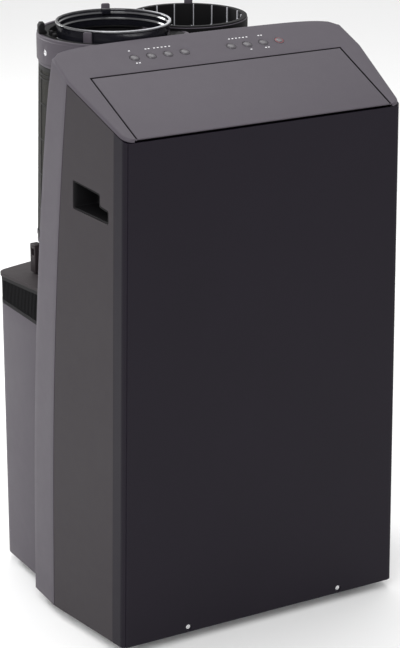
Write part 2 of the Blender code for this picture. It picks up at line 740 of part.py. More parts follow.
def column_shell(mat):
    """Wall of the column with the filter window in its left side."""
    def row(h):
        points = []
        for p in column_outline(drum_radius(h), RIGHT_DRUM, COLUMN_FRONT):
            foot = BOX_DEPTH - BOX_BOW * p.x ** 2 - COLUMN_SET_IN
            d = min(p.y, foot + COLUMN_LEAN * max(h - LID_HEIGHT, 0.0))
            points.append(at(p.x, d, h if h > 0 else lid_height(d) + GAP))
        return points

    rows = [row(h) for h in (0, FOOT_TOP, FOOT_TOP + 4 * MM, CAP_BOTTOM - 1 * MM - GAP)]
    middle = at((LEFT_PORT.x + RIGHT_PORT.x) / 2, (LEFT_PORT.y + RIGHT_PORT.y) / 2, 0)
    obj = skin("column_shell", rows, lambda p: Vector((p.x - middle.x, p.y - middle.y, 0)), mat)
    spread = 0.6 * MM / LEFT_DRUM
    wedge = [Vector(LEFT_PORT)] + arc(LEFT_PORT, 140 * MM, math.degrees(FILTER_FROM - spread),
                                      math.degrees(FILTER_TO + spread), 6)
    cut(obj, prism_bm(wedge, FILTER_BOTTOM - GAP, FILTER_TOP + GAP), "filter_window",
        Matrix.Translation(at(0, 0, 0)))
    return obj


def column_filter(mat):
    """Curved filter panel that fills the window, pulled off sideways for washing."""
    columns = [FILTER_FROM + (FILTER_TO - FILTER_FROM) * n / 8 for n in range(9)]
    rows = []
    for h in (FILTER_BOTTOM + GAP, FILTER_TOP - GAP):
        radius = drum_radius(h) - 0.2 * MM
        rows.append([at(LEFT_PORT.x + radius * math.cos(a), LEFT_PORT.y + radius * math.sin(a), h)
                     for a in columns])
    return skin("column_filter", rows, lambda p: Vector((-1, 0, 0)), mat, wall=2 * MM)


def column_cap(mat):
    """Grey cap: a deck carrying a high left collar with an inner shelf and a lower right one."""
    left = vertical(LEFT_PORT.x, LEFT_PORT.y, 0)
    right = vertical(RIGHT_PORT.x, RIGHT_PORT.y, 0)
    grow = CAP_OVERHANG - 1 * MM
    outline = column_outline(LEFT_DRUM + grow, RIGHT_DRUM + grow, CAP_FRONT + 6 * MM)
    obj = finish("column_cap", prism_bm(outline, CAP_BOTTOM, DECK_TOP), mat,
                 Matrix.Translation(at(0, 0, 0)))
    rim = LEFT_DRUM + CAP_OVERHANG
    collar = [(70 * MM, LEFT_SHELF - WALL), (rim - WALL, LEFT_SHELF - WALL),
              (rim - WALL, CAP_BOTTOM - 1 * MM), (rim, CAP_BOTTOM - 1 * MM), (rim, LEFT_COLLAR_TOP),
              (LEFT_RECESS, LEFT_COLLAR_TOP), (LEFT_RECESS, LEFT_SHELF), (70 * MM, LEFT_SHELF)]
    join(obj, turned_bm(collar, 40, closed=True), "left_collar", left)
    along = RIGHT_PORT - LEFT_PORT
    towards_right = left @ Matrix.Rotation(math.atan2(along.y, along.x), 4, "Z")
    collar_end = box_bm((52 * MM, -200 * MM, LEFT_SHELF + 0.3 * MM),
                        (300 * MM, 200 * MM, RIGHT_COLLAR_TOP + 20 * MM))
    cut(obj, collar_end, "collar_end", towards_right)
    rim = RIGHT_DRUM + CAP_OVERHANG
    collar = [(72 * MM, CAP_BOTTOM - 1 * MM), (rim, CAP_BOTTOM - 1 * MM), (rim, RIGHT_COLLAR_TOP),
              (72 * MM, RIGHT_COLLAR_TOP)]
    join(obj, turned_bm(collar, 36, closed=True), "right_collar", right)
    cut(obj, drum(79.6 * MM, LEFT_SHELF + 0.1 * MM, ADAPTOR_TOP), "adaptor_seat", left)
    cut(obj, drum(LEFT_HOLE, CAP_BOTTOM - 20 * MM, LEFT_COLLAR_TOP + 20 * MM), "left_hole", left)
    cut(obj, drum(RIGHT_HOLE, CAP_BOTTOM - 20 * MM, LEFT_COLLAR_TOP + 20 * MM), "right_hole", right)
    reach = 300 * MM
    roof_side = box_bm((-reach, -reach, CAP_BOTTOM - 10 * MM), (reach, CAP_FRONT, ADAPTOR_TOP + reach))
    cut(obj, roof_side, "roof_line", Matrix.Translation(at(0, 0, 0)))
    cut(obj, drum(CAP_SCREW_HOLE, -20 * MM, 20 * MM, 12), "screw_hole", screw_matrix(-1 * MM))
    hooks = ((left, 70, 82.3 * MM, LEFT_SHELF, 801 * MM, "rear_hook"),
             (left, -142, 82.3 * MM, LEFT_SHELF, 793 * MM, "front_hook"),
             (right, 60, 81 * MM, RIGHT_COLLAR_TOP, 784 * MM, "intake_hook"))
    for port, angle, radius, low, high, label in hooks:
        join(obj, box_bm((radius - 1.7 * MM, -6 * MM, low - 1 * MM), (radius + 1.7 * MM, 6 * MM, high)),
             label, port @ Matrix.Rotation(math.radians(angle), 4, "Z"))
    return obj


def screw_matrix(out):
    """Placement of the cap screw, pointing away from the left port towards the left front."""
    a = math.radians(181)
    radius = LEFT_DRUM + CAP_OVERHANG + out
    place = at(LEFT_PORT.x + radius * math.cos(a), LEFT_PORT.y + radius * math.sin(a), 760 * MM)
    return Matrix.Translation(place) @ Matrix.Rotation(a, 4, "Z") @ Matrix.Rotation(math.pi / 2, 4, "Y")


def hose_adaptor(mat):
    """Round coupling for the exhaust hose: foot flange, plain outside, threaded inside."""
    top = ADAPTOR_TOP
    low = LEFT_SHELF + GAP
    outer = [(79 * MM, low), (79 * MM, top - 2 * MM), (78.2 * MM, top - 0.4 * MM), (77.4 * MM, top),
             (75.8 * MM, top)]
    threads = []
    for n in range(2):
        crest = top - (6 + 8 * n) * MM
        threads += [(75.8 * MM, crest + 1.2 * MM), (74.2 * MM, crest), (75.8 * MM, crest - 1.2 * MM)]
    profile = outer + threads + [(75.8 * MM, low)]
    return finish("hose_adaptor", turned_bm(profile, 32, closed=True), mat,
                  vertical(LEFT_PORT.x, LEFT_PORT.y, 0), smooth=35)


def hose_latch(mat):
    """Black lock block at the left end of the collar's recess."""
    obj = finish("hose_latch", box_bm((93 * MM, -7 * MM, LEFT_COLLAR_TOP + 0.3 * MM),
                                      (104 * MM, 7 * MM, LEFT_COLLAR_TOP + 15 * MM)), mat,
                 vertical(LEFT_PORT.x, LEFT_PORT.y, 0) @ Matrix.Rotation(math.radians(165), 4, "Z"))
    bevel(obj, 2 * MM)
    return obj


def intake_guard(mat):
    """Cage of upright bars in the intake port, between two rings."""
    bars = 20
    rows = []
    for h in (GUARD_LOW, GUARD_LOW + 6 * MM, 766 * MM, 770 * MM):
        row = []
        for n in range(bars):
            for offset in (0, 3.5):
                a = math.radians(360 / bars * n + offset)
                row.append(at(RIGHT_PORT.x + 77 * MM * math.cos(a),
                              RIGHT_PORT.y + 77 * MM * math.sin(a), h))
        rows.append(row)
    bm = bmesh.new()
    grid = [[bm.verts.new(p) for p in row] for row in rows]
    count = len(grid[0])
    for i in range(3):
        for j in range(count):
            if i != 1 or j % 2 == 0:
                k = (j + 1) % count
                bm.faces.new((grid[i][j], grid[i][k], grid[i + 1][k], grid[i + 1][j]))
    return thicken(finish("intake_guard", bm, mat, smooth=35), 2 * MM)


def air_duct(name, centre, radius, low, high, mat):
    wall = 2 * MM
    profile = [(radius, low), (radius, high), (radius - wall, high), (radius - wall, low)]
    return finish(name, turned_bm(profile, 24, closed=True), mat,
                  vertical(centre.x, centre.y, 0), smooth=35)


def screw(name, radius, matrix, mat):
    profile = [(0, 1.2 * MM), (radius * 0.6, 1.1 * MM), (radius, 0.3 * MM), (radius, 0),
               (radius * 0.5, 0), (radius * 0.5, -8 * MM), (0, -8 * MM)]
    return finish(name, turned_bm(profile, 12), mat, matrix, smooth=40)


# ---------------------------------------------------------------- base and casters

def base_pan(mat):
    """Floor tray with an upstand and four round caster wells."""
    def plan(inset):
        points = [at(-side_half(d, 0) + inset, d, 0) for d in (160 * MM, 30 * MM)]
        chamfer = 6 * MM
        points += [at(-side_half(2 * chamfer, 0) + inset + chamfer, chamfer + inset, 0)]
        right = [Vector((-p.x, p.y, 0)) for p in reversed(points)]
        rear = [Vector((p.x * (1 - inset / BOX_HALF), p.y * (1 - inset / DEPTH), 0))
                for p in box_outline()]
        back = [at(p.x, p.y, 0) for p in reversed(rear)]
        neck = [at(side * (BOX_HALF - inset), BAND_REAR - 4 * MM, 0) for side in (1, -1)]
        return points + right + neck[:1] + back + neck[1:]

    bottom = 16 * MM
    obj = finish("base_pan", prism_bm(plan(4 * MM), bottom, 38 * MM), mat)
    cut(obj, prism_bm(plan(7 * MM), bottom + 3 * MM, 50 * MM), "tray_hollow")
    for n, (x, d) in enumerate(caster_places()):
        join(obj, drum(WELL_RADIUS + 2.5 * MM, bottom + 1 * MM, WELL_TOP + 3 * MM, 20), f"well_{n + 1}",
             Matrix.Translation((x, d - DEPTH / 2, 0)))
    for n, (x, d) in enumerate(caster_places()):
        cut(obj, drum(WELL_RADIUS, 0, WELL_TOP, 20), f"well_hollow_{n + 1}",
            Matrix.Translation((x, d - DEPTH / 2, 0)))
        cut(obj, drum(4.4 * MM, 0, WELL_TOP + 20 * MM, 12), f"stem_hole_{n + 1}",
            Matrix.Translation((x, d - DEPTH / 2, 0)))
    return obj


def caster_places():
    return [(side * CASTER_X, d) for d in CASTER_D for side in (-1, 1)]


def caster_fork(name, x, d, mat):
    """Swivel fork: stem, top disc, two cheeks and the axle between them."""
    place = Matrix.Translation((x, d - DEPTH / 2, 0))
    stem = 4 * MM
    profile = [(0, WELL_TOP + 9 * MM), (stem, WELL_TOP + 9 * MM), (stem, WELL_TOP - 0.4 * MM),
               (13 * MM, WELL_TOP - 0.4 * MM), (13 * MM, 42 * MM), (0, 42 * MM)]
    obj = finish(name, turned_bm(profile, 16), mat, place)
    cheek = [(-6 * MM, 46 * MM), (CASTER_TRAIL - 6 * MM, 13 * MM), (CASTER_TRAIL + 6 * MM, 13 * MM),
             (CASTER_TRAIL + 6 * MM, 24 * MM), (10 * MM, 46 * MM)]
    inner = WHEEL_WIDTH / 2 + 0.6 * MM
    for side, label in ((-1, "left_cheek"), (1, "right_cheek")):
        bm = prism_bm(cheek, 0, 2.4 * MM)
        upright = Matrix(((0, 0, 1, 0), (1, 0, 0, 0), (0, 1, 0, 0), (0, 0, 0, 1)))
        bmesh.ops.transform(bm, matrix=upright, verts=bm.verts)
        offset = inner if side > 0 else -inner - 2.4 * MM
        join(obj, bm, label, place @ Matrix.Translation((offset, 0, 0)))
    half = inner + 1.2 * MM
    axle = drum(AXLE_RADIUS, -half, half, 16)
    join(obj, axle, "axle", place @ Matrix.Translation((0, CASTER_TRAIL, WHEEL_RADIUS))
         @ Matrix.Rotation(math.pi / 2, 4, "Y"))
    return obj


def caster_wheel(name, x, d, mat):
    """Solid wheel with rounded shoulders and a plain bore; a flat of its tread faces down."""
    half = WHEEL_WIDTH / 2
    bore = AXLE_RADIUS + 0.3 * MM
    steps = 20
    rim = WHEEL_RADIUS / math.cos(math.pi / steps)
    profile = [(bore, -half), (rim - 5 * MM, -half), (rim - 1.5 * MM, -half + 0.5 * MM),
               (rim, -half + 2 * MM), (rim, half - 2 * MM), (rim - 1.5 * MM, half - 0.5 * MM),
               (rim - 5 * MM, half), (bore, half)]
    place = Matrix.Translation((x, d - DEPTH / 2 + CASTER_TRAIL, WHEEL_RADIUS))
    turn = Matrix.Rotation(math.pi / 2, 4, "Y") @ Matrix.Rotation(math.pi / steps, 4, "Z")
    return finish(name, turned_bm(profile, steps, closed=True), mat, place @ turn, smooth=35)


# ---------------------------------------------------------------- machinery

def compressor(mat):
    radius = 58 * MM
    profile = [(0, 0), (70 * MM, 0), (70 * MM, 4 * MM), (radius, 8 * MM), (radius, 190 * MM),
               (radius * 0.8, 218 * MM), (radius * 0.35, 230 * MM), (0, 232 * MM)]
    return finish("compressor", turned_bm(profile, 24), mat,
                  Matrix.Translation(at(105 * MM, 150 * MM, 4.5 * MM)), smooth=35)


def accumulator(mat):
    profile = [(0, 0), (10 * MM, 4 * MM), (22 * MM, 14 * MM), (22 * MM, 140 * MM),
               (10 * MM, 152 * MM), (0, 156 * MM)]
    return finish("accumulator", turned_bm(profile, 16), mat,
                  Matrix.Translation(at(16 * MM, 120 * MM, 40 * MM)), smooth=35)


def coil_block(name, x_half, d_low, d_high, h_low, h_high, fins, mat):
    """Heat exchanger: a finned block, grooved on its front face, with end plates."""
    low = at(-x_half, d_low, h_low)
    high = at(x_half, d_high, h_high)
    obj = finish(name, box_bm(low, high), mat)
    bm = bmesh.new()
    pitch = (2 * x_half - 20 * MM) / fins
    for n in range(fins):
        x = -x_half + 10 * MM + pitch * (n + 0.25)
        part = bmesh.ops.create_cube(bm, size=1.0)["verts"]
        bmesh.ops.scale(bm, vec=(pitch / 2, 8 * MM, h_high - h_low - 16 * MM), verts=part)
        centre = at(x + pitch / 4, d_low, (h_low + h_high) / 2)
        bmesh.ops.translate(bm, vec=centre, verts=part)
    cut(obj, bm, "fin_gaps")
    return obj


def blower_wheel(name, x, d, h, radius, width, mat):
    """Squirrel-cage wheel on an axis along Y: back disc, blades between it and a front ring."""
    blades = 10
    hub = 9 * MM
    ring = [(hub, 0.0), (radius, 0.0), (radius, 5 * MM), (radius, width - 5 * MM), (radius, width),
            (radius - 8 * MM, width)]
    bm = bmesh.new()
    grid = []
    for r, z in ring:
        grid.append([bm.verts.new((r * math.cos(math.pi * n / blades),
                                   r * math.sin(math.pi * n / blades), z)) for n in range(2 * blades)])
    for i in range(len(ring) - 1):
        for j in range(2 * blades):
            if i != 2 or j % 2 == 0:
                k = (j + 1) % (2 * blades)
                bm.faces.new((grid[i][j], grid[i][k], grid[i + 1][k], grid[i + 1][j]))
    bmesh.ops.recalc_face_normals(bm, faces=bm.faces)
    face_outward(bm, lambda p: p - Vector((0, 0, width / 2)))
    place = facing_back(x, d, h) @ Matrix.Rotation(math.pi, 4, "X")
    return thicken(finish(name, bm, mat, place, smooth=35), 2 * MM)


def blower_motor(name, x, d, h, length, mat):
    """Motor can with its shaft reaching forwards into the wheel's hub."""
    profile = [(0, -12 * MM), (6 * MM, -12 * MM), (6 * MM, 0.5 * MM), (34 * MM, 0.5 * MM),
               (36 * MM, 3 * MM), (36 * MM, length - 2 * MM), (32 * MM, length), (0, length)]
    return finish(name, turned_bm(profile, 20), mat, facing_back(x, d, h), smooth=35)


def divider_deck(mat):
    """Plate between the cold upper half and the hot lower half of the casing."""
    def edge(d):
        return side_half(d, DIVIDER_H) - 5 * MM

    near, middle, far = 8 * MM, 150 * MM, 198 * MM
    half = [(edge(near), near), (edge(middle), middle), (edge(middle) - 4 * MM, far)]
    outline = half + [(-x, d) for x, d in reversed(half)]
    return finish("divider_deck", prism_bm(outline, DIVIDER_H, DIVIDER_H + 4 * MM), mat,
                  Matrix.Translation(at(0, 0, 0)))


# ---------------------------------------------------------------- assembly

def build():
    clear_scene()
    panel_grey = material("panel_grey", (0.075, 0.072, 0.078), 0.55)
    shell_grey = material("shell_grey", (0.20, 0.195, 0.205), 0.5)
    gloss_black = material("gloss_black", (0.018, 0.017, 0.020), 0.28)
    black = material("matt_black", (0.015, 0.015, 0.016), 0.6)
    filter_mesh = material("filter_mesh", (0.05, 0.05, 0.042), 0.8)
    steel = material("steel", (0.62, 0.62, 0.63), 0.3, 1.0)
    rubber = material("rubber", (0.02, 0.02, 0.02), 0.75)
    button_grey = material("button_grey", (0.24, 0.235, 0.245), 0.4)
    board_green = material("board_green", (0.03, 0.12, 0.05), 0.5)
    fin_metal = material("fin_metal", (0.7, 0.71, 0.72), 0.45, 1.0)
    can_black = material("can_black", (0.02, 0.02, 0.022), 0.4)
    galvanised = material("galvanised", (0.45, 0.46, 0.47), 0.5, 0.8)

    base_pan(galvanised)
    front_panel(gloss_black)
    for label, side in (("left", -1), ("right", 1)):
        side_panel(f"side_panel_{label}", side, panel_grey)
        handle_cup(f"handle_cup_{label}", side, black)
        screw(f"front_screw_{label}", 4 * MM,
              Matrix.Translation(at(FRONT_SCREWS[label], 1.6 * MM, FRONT_SCREW_H))
              @ Matrix.Rotation(math.pi / 2, 4, "X"), steel)
    main_shell(shell_grey)
    for label, x in zip(BUTTON_NAMES, button_positions()):
        button(f"button_{label}", x, button_grey)
    control_board(board_green)

    flap(shell_grey)
    flap_hinge_rod(steel)
    flap_motor(black)
    outlet_duct(black)
    for n in range(VANE_COUNT):
        vane(f"vane_{n + 1}", (n - (VANE_COUNT - 1) / 2) * VANE_PITCH, black)
    vane_link(black)

    rear_housing(shell_grey)
    rear_grille(black)
    rear_top_cover(shell_grey)
    drain_plug(rubber)
    cord_gland(rubber)
    cord_hook(shell_grey)

    column_shell(shell_grey)
    column_filter(filter_mesh)
    column_cap(shell_grey)
    hose_adaptor(gloss_black)
    hose_latch(black)
    intake_guard(shell_grey)
    air_duct("exhaust_duct", LEFT_PORT, EXHAUST_RADIUS, DUCT_LOW, LEFT_SHELF - WALL - 1 * MM, black)
    air_duct("intake_duct", RIGHT_PORT, INTAKE_RADIUS, DUCT_LOW, GUARD_LOW - 1 * MM, black)
    screw("cap_screw", CAP_SCREW_RADIUS, screw_matrix(-1.5 * MM), steel)

    for n, (x, d) in enumerate(caster_places()):
        end = ("front", "rear")[n // 2]
        hand = ("left", "right")[n % 2]
        caster_fork(f"caster_fork_{end}_{hand}", x, d, galvanised)
        caster_wheel(f"caster_wheel_{end}_{hand}", x, d, rubber)

    compressor(can_black)
    accumulator(can_black)
    coil_block("condenser", 170 * MM, 348 * MM, 370 * MM, 55 * MM, 370 * MM, 24, fin_metal)
    coil_block("evaporator", 165 * MM, 176 * MM, 200 * MM, 445 * MM, 700 * MM, 22, fin_metal)
    blower_wheel("condenser_blower_wheel", -80 * MM, 290 * MM, 190 * MM, 85 * MM, 60 * MM, black)
    blower_motor("condenser_blower_motor", -80 * MM, 292 * MM, 190 * MM, 50 * MM, steel)
    blower_wheel("evaporator_blower_wheel", 0, 110 * MM, 545 * MM, 85 * MM, 60 * MM, black)
    blower_motor("evaporator_blower_motor", 0, 112 * MM, 545 * MM, 50 * MM, steel)
    divider_deck(galvanised)


build()
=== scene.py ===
"""Looks of the portable air conditioner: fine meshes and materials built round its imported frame."""

from math import acos, asin, atan, atan2, cos, degrees, pi, radians, sin, sqrt, tan, tau

import bmesh
import bpy
from mathutils import Matrix, Quaternion, Vector


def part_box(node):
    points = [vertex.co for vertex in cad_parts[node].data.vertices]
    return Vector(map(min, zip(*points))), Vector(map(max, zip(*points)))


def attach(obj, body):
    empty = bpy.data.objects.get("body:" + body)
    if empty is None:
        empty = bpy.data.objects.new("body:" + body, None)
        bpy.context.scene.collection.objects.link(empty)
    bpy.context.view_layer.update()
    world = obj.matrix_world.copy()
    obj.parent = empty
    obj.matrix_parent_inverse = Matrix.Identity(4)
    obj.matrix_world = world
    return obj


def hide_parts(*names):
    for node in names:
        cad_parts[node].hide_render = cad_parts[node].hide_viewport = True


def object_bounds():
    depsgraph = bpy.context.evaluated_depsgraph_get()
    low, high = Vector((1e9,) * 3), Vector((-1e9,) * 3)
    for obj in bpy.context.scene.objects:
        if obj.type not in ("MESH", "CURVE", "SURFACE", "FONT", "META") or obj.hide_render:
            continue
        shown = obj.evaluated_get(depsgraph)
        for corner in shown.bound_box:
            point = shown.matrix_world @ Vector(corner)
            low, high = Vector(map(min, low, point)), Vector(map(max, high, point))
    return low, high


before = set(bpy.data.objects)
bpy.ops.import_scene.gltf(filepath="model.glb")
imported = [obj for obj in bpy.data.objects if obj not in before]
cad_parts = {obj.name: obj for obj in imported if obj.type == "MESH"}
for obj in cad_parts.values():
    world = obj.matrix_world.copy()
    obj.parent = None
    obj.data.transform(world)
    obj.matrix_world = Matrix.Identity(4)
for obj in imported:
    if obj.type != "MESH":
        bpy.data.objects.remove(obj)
cad_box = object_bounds()

MM = 0.001
CUT_REACH = 0.02  # how far a cutting cylinder or box runs past what it cuts

# Casing: depth runs back from the front face, height up from the casing's bottom edge.
DEPTH = cad_box[1].y - cad_box[0].y
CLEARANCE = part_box("rear_housing")[0].z
FRONT_HEIGHT = 704.6 * MM
ROOF_ANGLE = radians(22.58)
BASE_HALF_WIDTH = 218.3 * MM
SIDE_TAPER = 0.0154
SIDE_FLARE = 0.146
BAND_LEAN = 0.04
WALL = 2.5 * MM
GAP = 0.4 * MM
SEAM = 1.4 * MM
RETURN_DEPTH = 24 * MM
FRONT_CORNER = 9 * MM
TOP_GAP = 5 * MM
SCREW_H = 7 * MM
CREASE_DEPTH = 163 * MM
CREASE_BOW = 0.0907
CREASE_START = 120 * MM
HANDLE_DEPTH = 38 * MM

# Roof, flap and buttons.
ROOF_EDGE = 4 * MM
ROOF_REAR = 194 * MM
ROOF_FRONT_LINE = 126.7 * MM
BAND_TOP_DEPTH = 170 * MM
BAND_REAR = 229.6 * MM
BAND_REAR_BOW = 0.107
BAND_REAR_START = 100 * MM
SHOULDER = 5.5 * MM
SHOULDER_START = 700 * MM
SHOULDER_HEIGHT = 78 * MM
REAR_ROUND = 3 * MM
FLANGE = 20 * MM
DEEP_FLANGE = {-1: 55 * MM, 1: 50 * MM}
FLAP_HALF = 190 * MM
FLAP_GAP = 2.5 * MM
BUTTON_RADIUS = 6.6 * MM
BUTTON_HOLE = 7.2 * MM
BUTTON_PROUD = 1.6 * MM
BUTTON_D = 154.7 * MM

# Lower rear box.
BOX_HALF = 221 * MM
BOX_DEPTH = 415 * MM
BOX_CORNER = 26 * MM
BOX_TURN = 68
BOX_BOW = 1.01
GRILLE_BOTTOM = 389 * MM
LID_THICKNESS = 5 * MM
LID_HEIGHT = 444.8 * MM
LID_DEPTH = 237 * MM
LID_SLOPE = 0.095
SLAT_PITCH = 4.6 * MM
CORD_X = 110 * MM
DRAIN_H = 34 * MM
CORD_H = 60 * MM

# Column and its two ports, given by their centres (x, depth).
LEFT_PORT = Vector((-78.6 * MM, 277 * MM))
RIGHT_PORT = Vector((69.6 * MM, 333.5 * MM))
LEFT_DRUM = 103 * MM
DRUM_DRAFT = 0.0257
RIGHT_DRUM = 82.5 * MM
COLUMN_SET_IN = 2.5 * MM
COLUMN_LEAN = 0.032
FOOT_TOP = 481 * MM
CAP_OVERHANG = 2 * MM
COLUMN_FRONT = 213 * MM
CAP_FRONT = 197 * MM
CAP_SCREW_H = 760 * MM
CAP_SCREW_ANGLE = 181
CAP_BOTTOM = 746 * MM
DECK_TOP = 753 * MM
LEFT_COLLAR_TOP = 781 * MM
LEFT_SHELF = 771 * MM
RIGHT_COLLAR_TOP = 775.5 * MM
LEFT_HOLE = 75.8 * MM
LEFT_RECESS = 88 * MM
COLLAR_SPLIT = 99.5 * MM
RIGHT_HOLE = 77.5 * MM
ADAPTOR_TOP = 794.5 * MM
ADAPTOR_GATE = 52 * MM
ADAPTOR_RADIUS = 79 * MM
EXHAUST_RADIUS = 74.5 * MM
INTAKE_RADIUS = 70 * MM
GUARD_LOW = 702 * MM
GUARD_BARS = 17
RIB_START = radians(75.4)
LATCH_ANGLE = 165
# Angles of the black band on the right collar's front, which is painted shade.
RIGHT_SHADE_FROM = 217
RIGHT_SHADE_TO = 330
FILTER_FROM = 141
FILTER_TO = 213
FILTER_BOTTOM = 488 * MM
FILTER_TOP = 739 * MM


# ---------------------------------------------------------------- shape of the casing

def at(x, d, h):
    """World point from distance off the centre plane, depth and height."""
    return Vector((x, d - DEPTH / 2, h + CLEARANCE))


def side_half(d, h):
    """Half-width of the casing: it flares out to the crease and leans in slightly behind it."""
    flared = min(d, crease_depth(h))
    return BASE_HALF_WIDTH - SIDE_TAPER * h + SIDE_FLARE * flared - BAND_LEAN * (d - flared)


def roof_height(d):
    return FRONT_HEIGHT + d * tan(ROOF_ANGLE)


def crease_depth(h):
    return CREASE_DEPTH - CREASE_BOW * max(h - CREASE_START, 0.0) ** 2


def band_rear_depth(h):
    """Depth of the band's rear edge: a long curve forwards, tighter at the shoulder."""
    bow = BAND_REAR_BOW * max(h - BAND_REAR_START, 0.0) ** 2
    shoulder = max(h - SHOULDER_START, 0.0) / SHOULDER_HEIGHT
    return BAND_REAR - bow - SHOULDER * shoulder ** 2


def roof_rear_depth(x):
    bow = 3 * MM * (x / (200 * MM)) ** 2
    rounding = 9 * MM * (abs(x) / (215 * MM)) ** 10
    return ROOF_REAR - bow - rounding


ROOF_FRONT = crease_depth(roof_height(ROOF_FRONT_LINE))
FLAP_END = ROOF_FRONT / cos(ROOF_ANGLE) - FLAP_GAP
BUTTON_SLOPE = BUTTON_D / cos(ROOF_ANGLE)


# Stands a flat section up: its first axis becomes Y, its second Z and its thickness X.
STAND = Matrix(((0, 0, 1, 0), (1, 0, 0, 0), (0, 1, 0, 0), (0, 0, 0, 1)))


def roof_matrix(x=0.0, slope=0.0, normal=0.0):
    """Placement on the roof plane: Y runs up the slope from the front edge, Z stands off it."""
    base = Matrix.Translation(at(0, 0, FRONT_HEIGHT)) @ Matrix.Rotation(ROOF_ANGLE, 4, "X")
    return base @ Matrix.Translation((x, slope, normal))


def vertical(x, d, h=0.0):
    return Matrix.Translation(at(x, d, h))


def swivel(place, angle):
    """`place` turned about its own Z axis by an angle in degrees."""
    return place @ Matrix.Rotation(radians(angle), 4, "Z")


LEFT_AXIS = vertical(LEFT_PORT.x, LEFT_PORT.y)
RIGHT_AXIS = vertical(RIGHT_PORT.x, RIGHT_PORT.y)


def arc(centre, radius, start, end, steps):
    """Points of a circular arc in a plane, both ends included; angles in degrees."""
    points = []
    for i in range(steps + 1):
        a = radians(start + (end - start) * i / steps)
        points.append(Vector((centre[0] + radius * cos(a), centre[1] + radius * sin(a))))
    return points


def spread(low, high, steps):
    return [low + (high - low) * i / steps for i in range(steps + 1)]


def turns(low, high, steps):
    """Evenly spread angles, given in degrees and returned in radians."""
    return [radians(a) for a in spread(low, high, steps)]


# ---------------------------------------------------------------- materials

def node(tree, kind, **values):
    """A shader node with the named inputs set; a link is made where a value is a socket."""
    made = tree.nodes.new("ShaderNode" + kind)
    for key, value in values.items():
        name = key.replace("_", " ")
        socket = made.inputs[int(name[5:])] if name.startswith("input") else made.inputs[name]
        if isinstance(value, bpy.types.NodeSocket):
            tree.links.new(value, socket)
        else:
            socket.default_value = value
    return made


def combine(operation, a, b=0.0, clamp=False):
    """A maths node over two values, at least one of them a socket, in that socket's tree."""
    tree = (a if isinstance(a, bpy.types.NodeSocket) else b).id_data
    made = node(tree, "Math", input0=a, input1=b)
    made.operation = operation
    made.use_clamp = clamp
    return made.outputs[0]


def plus(a, b, clamp=False):
    return combine("ADD", a, b, clamp)


def minus(a, b, clamp=False):
    return combine("SUBTRACT", a, b, clamp)


def times(a, b, clamp=False):
    return combine("MULTIPLY", a, b, clamp)


def noise(position, scale, detail=2.0, roughness=0.5):
    made = node(position.id_data, "TexNoise", Vector=position, Scale=scale, Detail=detail,
                Roughness=roughness)
    return made.outputs["Fac"]


def swing(value, amount):
    """Turns a 0..1 value into one that swings by `amount` about zero."""
    return times(minus(value, 0.5), 2 * amount)


def start_material(name, metallic=0.0):
    mat = bpy.data.materials.new(name)
    mat.use_nodes = True
    tree = mat.node_tree
    shader = tree.nodes["Principled BSDF"]
    shader.inputs["Metallic"].default_value = metallic
    position = node(tree, "TexCoord").outputs["Object"]
    return mat, tree, shader, position


def edge_mask(tree, radius):
    """1 on a convex or concave edge narrower than `radius`, 0 on open faces."""
    smooth = tree.nodes.new("ShaderNodeBevel")
    smooth.samples = 4
    smooth.inputs["Radius"].default_value = radius
    true_normal = tree.nodes.new("ShaderNodeNewGeometry").outputs["Normal"]
    dot = tree.nodes.new("ShaderNodeVectorMath")
    dot.operation = "DOT_PRODUCT"
    tree.links.new(smooth.outputs[0], dot.inputs[0])
    tree.links.new(true_normal, dot.inputs[1])
    off = minus(1.0, dot.outputs["Value"])
    return times(off, 4.0, clamp=True)


def tint(shader, colour, change):
    """Base colour whose brightness follows 1 + change."""
    tree = shader.id_data
    value = plus(1.0, change)
    shade = node(tree, "HueSaturation", Color=(*colour, 1.0), Value=value)
    tree.links.new(shade.outputs[0], shader.inputs["Base Color"])


def bump(shader, height, distance, strength=1.0):
    tree = shader.id_data
    made = node(tree, "Bump", Height=height, Distance=distance, Strength=strength)
    tree.links.new(made.outputs[0], shader.inputs["Normal"])


def plastic(name, colour, roughness, grain=900.0, depth=0.05 * MM, mottle=0.05, wear=0.35,
            coat=0.0, dust=0.10, specular=0.35):
    """Moulded plastic: fine spark-eroded grain, faint flow marks, handling sheen and edges lightened by
    wear.
    """
    mat, tree, shader, position = start_material(name)
    fine = noise(position, grain, 3.0, 0.6)
    broad = noise(position, 7.0, 4.0, 0.55)
    blotch = noise(position, 60.0, 3.0, 0.6)
    change = plus(swing(fine, mottle), swing(broad, dust))
    change = plus(change, times(edge_mask(tree, 0.9 * MM), wear))
    tint(shader, colour, change)
    sheen = plus(roughness, swing(broad, 0.10))
    sheen = plus(sheen, swing(blotch, 0.05))
    tree.links.new(sheen, shader.inputs["Roughness"])
    shader.inputs["Specular IOR Level"].default_value = specular
    shader.inputs["Coat Weight"].default_value = coat
    shader.inputs["Coat Roughness"].default_value = 0.12
    bump(shader, fine, depth, 0.6)
    return mat


def woven(name, colour, pitch):
    """Fine filter gauze: crossed threads with dark openings between them, running with the height."""
    mat, tree, shader, position = start_material(name)
    axes = node(tree, "SeparateXYZ", Vector=position)
    turn = combine("ARCTAN2", axes.outputs["Y"], axes.outputs["X"])
    around = times(turn, LEFT_DRUM)
    waves = []
    for along in (around, axes.outputs["Z"]):
        phase = times(along, tau / pitch)
        waves.append(combine("ABSOLUTE", combine("SINE", phase)))
    threads = combine("MAXIMUM", *waves)
    lint = noise(position, 25.0, 4.0)
    change = minus(times(threads, 0.9), 0.75)
    change = plus(change, swing(lint, 0.25))
    tint(shader, colour, change)
    shader.inputs["Roughness"].default_value = 0.75
    shader.inputs["Specular IOR Level"].default_value = 0.2
    bump(shader, threads, 0.25 * MM)
    return mat


